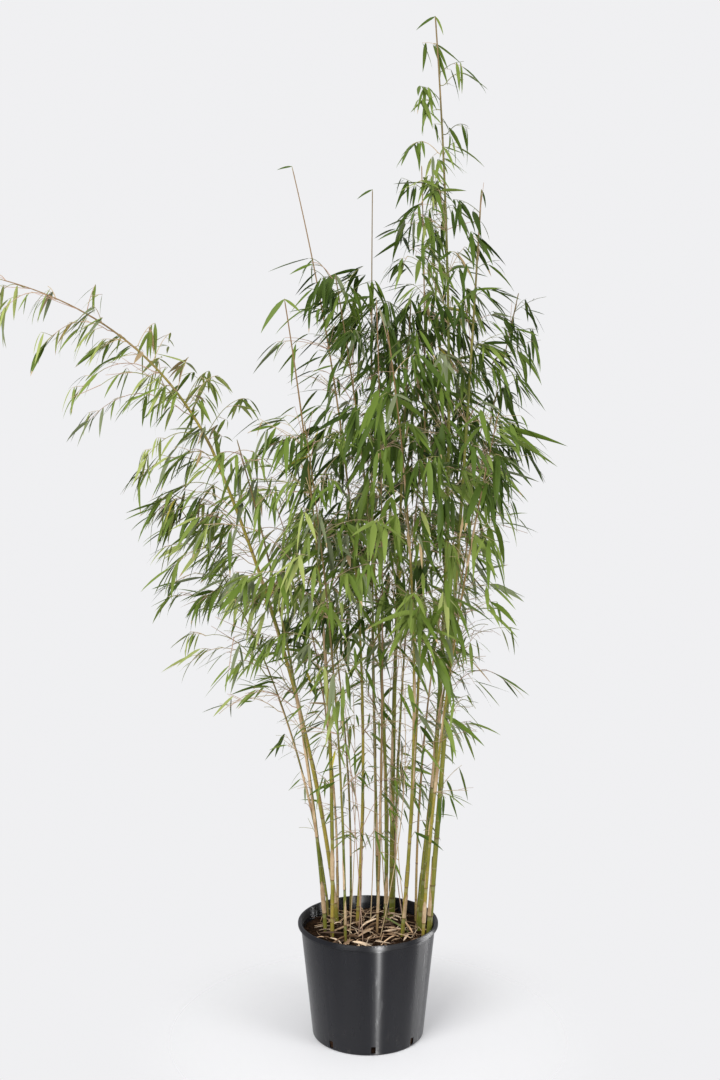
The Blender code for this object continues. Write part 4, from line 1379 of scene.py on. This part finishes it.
def add_branch(growth, path, radii, tone):
    """A branch as a run of twigs, end to end."""
    for run in range(BRANCH_RUNS):
        steps = [run + n / (BRANCHLET_POINTS - 1) for n in range(BRANCHLET_POINTS)]
        places = [path.length * step / BRANCH_RUNS for step in steps]
        widths = [float(np.interp(place / path.length, (0, 1), radii)) for place in places]
        growth.twig([path.at(place) for place in places], widths, tone)


def grow_culm(growth, limb, path, joints):
    """Everything that one culm carries. Returns the solids that it stands in for."""
    nodes = []
    short = limb.name[5:]
    lengths = scaled(LEAF_LENGTH, limb.leaf)
    grow_low(growth, limb, path, joints)
    if limb.bare < 1.0:
        grow_stem(growth, path, path.length * limb.bare, path.length * CROWN_TO, limb)
        nodes.append(f"leaves_{short}_top")
    for number, shape in enumerate(SIDE_BRANCHES.get(limb.name, ()), 1):
        branch = side_path(limb, path, *shape)
        add_branch(growth, branch, BRANCH_RADIUS, TWIG_TONES.index("green_twig"))
        grow_stem(growth, branch, branch.length * SIDE_FROM, branch.length, limb)
        nodes.append(f"leaves_{short}_side_{number}")
    for height, *shape in FINE_BRANCHES.get(limb.name, ()):
        branch = side_path(limb, path, height, *shape)
        mix = mix_at(limb, height)
        add_branch(growth, branch, FINE_RADIUS, pick_twig_tone(mix))
        dress(growth, branch, Vector(), mix, lengths, start=FINE_FROM)
    for length, heading, drop in TIP_LEAVES.get(limb.name, ()):
        way = turned(PLUS_X, math.radians(heading), math.radians(drop))
        shape = (length, length * TIP_LEAF_WIDTH, *TIP_LEAF_SHAPE)
        growth.put(path.at(path.length - 0.001), way, shape, pick_tone(limb.mix))
    return nodes


LEAF_FINISH = plain_materials(LEAF_COLOURS, Roughness=0.50, Specular_IOR_Level=0.16)
TWIG_FINISH = plain_materials(TWIG_COLOURS, Roughness=0.6)


def add_growth(growth, leaves, twigs, twig_slot, *nodes):
    """Makes the leaves and the twigs of a growth into two pieces of these names."""
    add_made(leaf_mesh(leaves, growth), "leaves", *nodes, finish=LEAF_FINISH, smooth_angle=0)
    add_made(twig_mesh(twigs, growth), twig_slot, finish=TWIG_FINISH, smooth_angle=0)


def build_stems():
    """Thin stems from the soil, each with a few twigs and small leaves."""
    growth = Growth()
    lengths = LOW_LEAF_LENGTH
    for _ in range(STEM_COUNT):
        foot = turned(PLUS_X, rng.uniform(0, math.tau), 0) * STEM_REACH * math.sqrt(rng.random())
        foot.z = ground(foot.x, foot.y) - CULM_SUNK
        lean = foot.xy.to_3d().normalized() * rng.uniform(*STEM_LEAN)
        lean += Vector((rng.gauss(0, STEM_STRAY), rng.gauss(0, STEM_STRAY), 1))
        tip = foot + lean * rng.uniform(*STEM_LENGTH)
        side = Vector((rng.gauss(0, STEM_BOW), rng.gauss(0, STEM_BOW), 0))
        shares = [step / STEM_STEPS for step in range(STEM_STEPS + 1)]
        line = [foot.lerp(tip, share) + side * math.sin(math.pi * share) for share in shares]
        add_branch(growth, Path(line), STEM_RADIUS, STEM_TONES[round(rng.random())])
        for root in line[STEM_TWIGS_FROM:-1]:
            if rng.random() < STEM_TWIG_CHANCE:
                out = turned(PLUS_X, rng.uniform(0, math.tau), rng.uniform(*STEM_TWIG_TILT))
                points = bowed(root, out, rng.uniform(*LOW_TWIG_LENGTH[1]), rng.uniform(*LOW_SAG))
                growth.twig(points, taper(BRANCHLET_RADIUS), pick_twig_tone("low"))
                dress(growth, Path(points), Vector(), "low", lengths, LOW_TUFT, LOW_TUFT_FROM, STEM_DROP)
    add_growth(growth, "leaves_low", "thin_stems", "culm_tan")


def build_foliage(limbs, paths, joints):
    for name, limb in limbs.items():
        growth = Growth()
        nodes = grow_culm(growth, limb, paths[name], joints[name])
        add_growth(growth, f"leaves_{name[5:]}", f"twigs_{name[5:]}", "leaves", *nodes)


# Litter on the soil: dry leaves and sticks, and two fallen leaves.


def curled(root, direction, length, curl):
    """Points of a strand that turns sideways along its length."""
    points = [root]
    for step in range(1, BRANCHLET_POINTS):
        turn = Matrix.Rotation(curl * step / BRANCHLET_POINTS, 3, "Z")
        points.append(points[-1] + turn @ direction * length / (BRANCHLET_POINTS - 1))
    return points


def build_litter():
    growth = Growth()
    for _ in range(LITTER_COUNT):
        x, y = random_spot(LITTER_MARGIN)
        length = rng.uniform(*LITTER_LENGTH)
        root = Vector((x, y, ground(x, y) + rng.uniform(*LITTER_LIFT)))
        direction = turned(PLUS_X, rng.uniform(0, math.tau), rng.uniform(*LITTER_TILT))
        if (root + direction * length).xy.length > SOIL_RADIUS - LITTER_TIP_MARGIN:
            continue
        tone = rng.choices(range(len(LITTER_COLOURS)), LITTER_MIX)[0]
        if rng.random() < STICK_SHARE:
            points = curled(root, direction, length, rng.uniform(-LITTER_CURL, LITTER_CURL))
            growth.twig(points, taper((rng.uniform(*STICK_RADIUS), STICK_RADIUS[0])), tone)
            continue
        width = length * rng.uniform(*LITTER_WIDTH_SHARE)
        shape = (length, width, rng.uniform(*LITTER_BEND), rng.uniform(-LITTER_ROLL, LITTER_ROLL),
                 rng.uniform(-LITTER_TWIST, LITTER_TWIST), rng.uniform(*LITTER_FOLD))
        growth.put(root, direction, shape, tone)
    finish = plain_materials(LITTER_COLOURS, Roughness=0.75)
    add_made(leaf_mesh("litter", growth), "soil", finish=finish, smooth_angle=0)
    add_made(twig_mesh("litter_sticks", growth), "soil", finish=finish, smooth_angle=0)


def build_fallen():
    """Two fresh leaves that lie on the soil."""
    growth = Growth()
    for number, (root, tip, width) in enumerate(FALLEN_LEAVES):
        way = Vector(tip) - Vector(root)
        growth.put(root, way.normalized(), (way.length, width, *FALLEN_SHAPE), number)
    colours = {"fallen_green": LEAF_COLOURS["fresh"], "fallen_grey": LEAF_COLOURS["grey"]}
    finish = plain_materials(colours, Roughness=0.5)
    add_made(leaf_mesh("fallen_leaves", growth), "leaves", finish=finish, smooth_angle=0)


# Stage: floor, light and camera.


CAMERA_PITCH = math.radians(5.88)
CAMERA_LENS = 46.49
BACKDROP = (0.870, 0.870, 0.885)
AMBIENT = (0.640, 0.640, 0.655)
# Each light's place, what it points at, its width and height, and its power.
LIGHTS = {
    "key": ((-1.9, -3.0, 2.9), (0, 0, 1.0), (2.4, 2.4), 132),
    "side": ((2.6, -2.0, 2.2), (0, 0, 1.0), (1.4, 1.4), 44),
    "strip": ((0.86, -2.72, 1.15), (0.04, -0.14, 0.12), (0.10, 1.4), 380),
    "edge": ((1.5, 0.35, 0.45), (0, 0, 0.13), (0.9, 0.9), 64),
}
# These only light the pot, as its highlights.
POT_LIGHTS = ("strip", "edge")


def floor_material():
    """Pale floor that fades into the backdrop away from the pot."""
    made, tree = new_material("pale_floor")
    shade(tree, Base_Color=(0.88, 0.88, 0.89), Roughness=0.60, Specular_IOR_Level=0.20)
    place = add_node(tree, "TexCoord").outputs["Object"]
    distance = add_node(tree, "VectorMath", place, operation="LENGTH").outputs["Value"]
    fade = ranged(tree, distance, interpolation_type="SMOOTHSTEP", From_Min=0.15, From_Max=0.60)
    pale = tree.nodes["Principled BSDF"].outputs[0]
    clear = add_node(tree, "BsdfTransparent").outputs[0]
    mix = add_node(tree, "MixShader", fade, pale, clear)
    tree.links.new(mix.outputs[0], tree.nodes["Material Output"].inputs["Surface"])
    return made


def area_light(name, place, target, sizes, power):
    data = bpy.data.lights.new(name, "AREA")
    data.energy = power
    data.shape = "RECTANGLE"
    data.size, data.size_y = sizes
    light = bpy.data.objects.new(name, data)
    light.location = place
    aim = Vector(target) - Vector(place)
    light.rotation_euler = aim.to_track_quat("-Z", "Y").to_euler()
    bpy.context.scene.collection.objects.link(light)
    return light


def build_stage():
    select_none()
    bpy.ops.mesh.primitive_plane_add(size=4.4, location=(0, 0, 0))
    floor = bpy.context.object
    floor.name = "floor"
    floor.data.materials.append(floor_material())
    world = bpy.data.worlds.new("studio")
    world.use_nodes = True
    tree = world.node_tree
    seen = add_node(tree, "LightPath").outputs["Is Camera Ray"]
    feed(tree, tree.nodes["Background"].inputs["Color"], mixed(tree, seen, AMBIENT, BACKDROP))
    bpy.context.scene.world = world
    lit = bpy.data.collections.new("pot_only")
    lit.objects.link(bpy.data.objects["pot_shell"])
    for name, values in LIGHTS.items():
        light = area_light(name, *values)
        if name in POT_LIGHTS:
            light.visible_diffuse = False
            light.light_linking.receiver_collection = lit
    camera = bpy.data.objects.new("camera", bpy.data.cameras.new("camera"))
    camera.location = VIEW_FROM
    camera.rotation_euler = (math.pi / 2 - CAMERA_PITCH, 0, 0)
    camera.data.lens = CAMERA_LENS
    camera.data.sensor_width = 36
    bpy.context.scene.collection.objects.link(camera)
    bpy.context.scene.camera = camera
    bpy.context.scene.view_settings.view_transform = "Standard"


def main():
    build_pot()
    build_soil()
    build_lumps()
    limbs = read_limbs()
    paths = {name: limb_path(limb) for name, limb in limbs.items()}
    joints = {name: joint_places(limb, paths[name]) for name, limb in limbs.items()}
    skins = {tint: culm_material(tint) for tint in CULM_COLOURS}
    for name, limb in limbs.items():
        build_culm(limb, paths[name], joints[name], skins[limb.tint])
    build_sheaths(limbs, paths, joints)
    build_foliage(limbs, paths, joints)
    build_stems()
    build_litter()
    build_fallen()
    build_stage()


main()
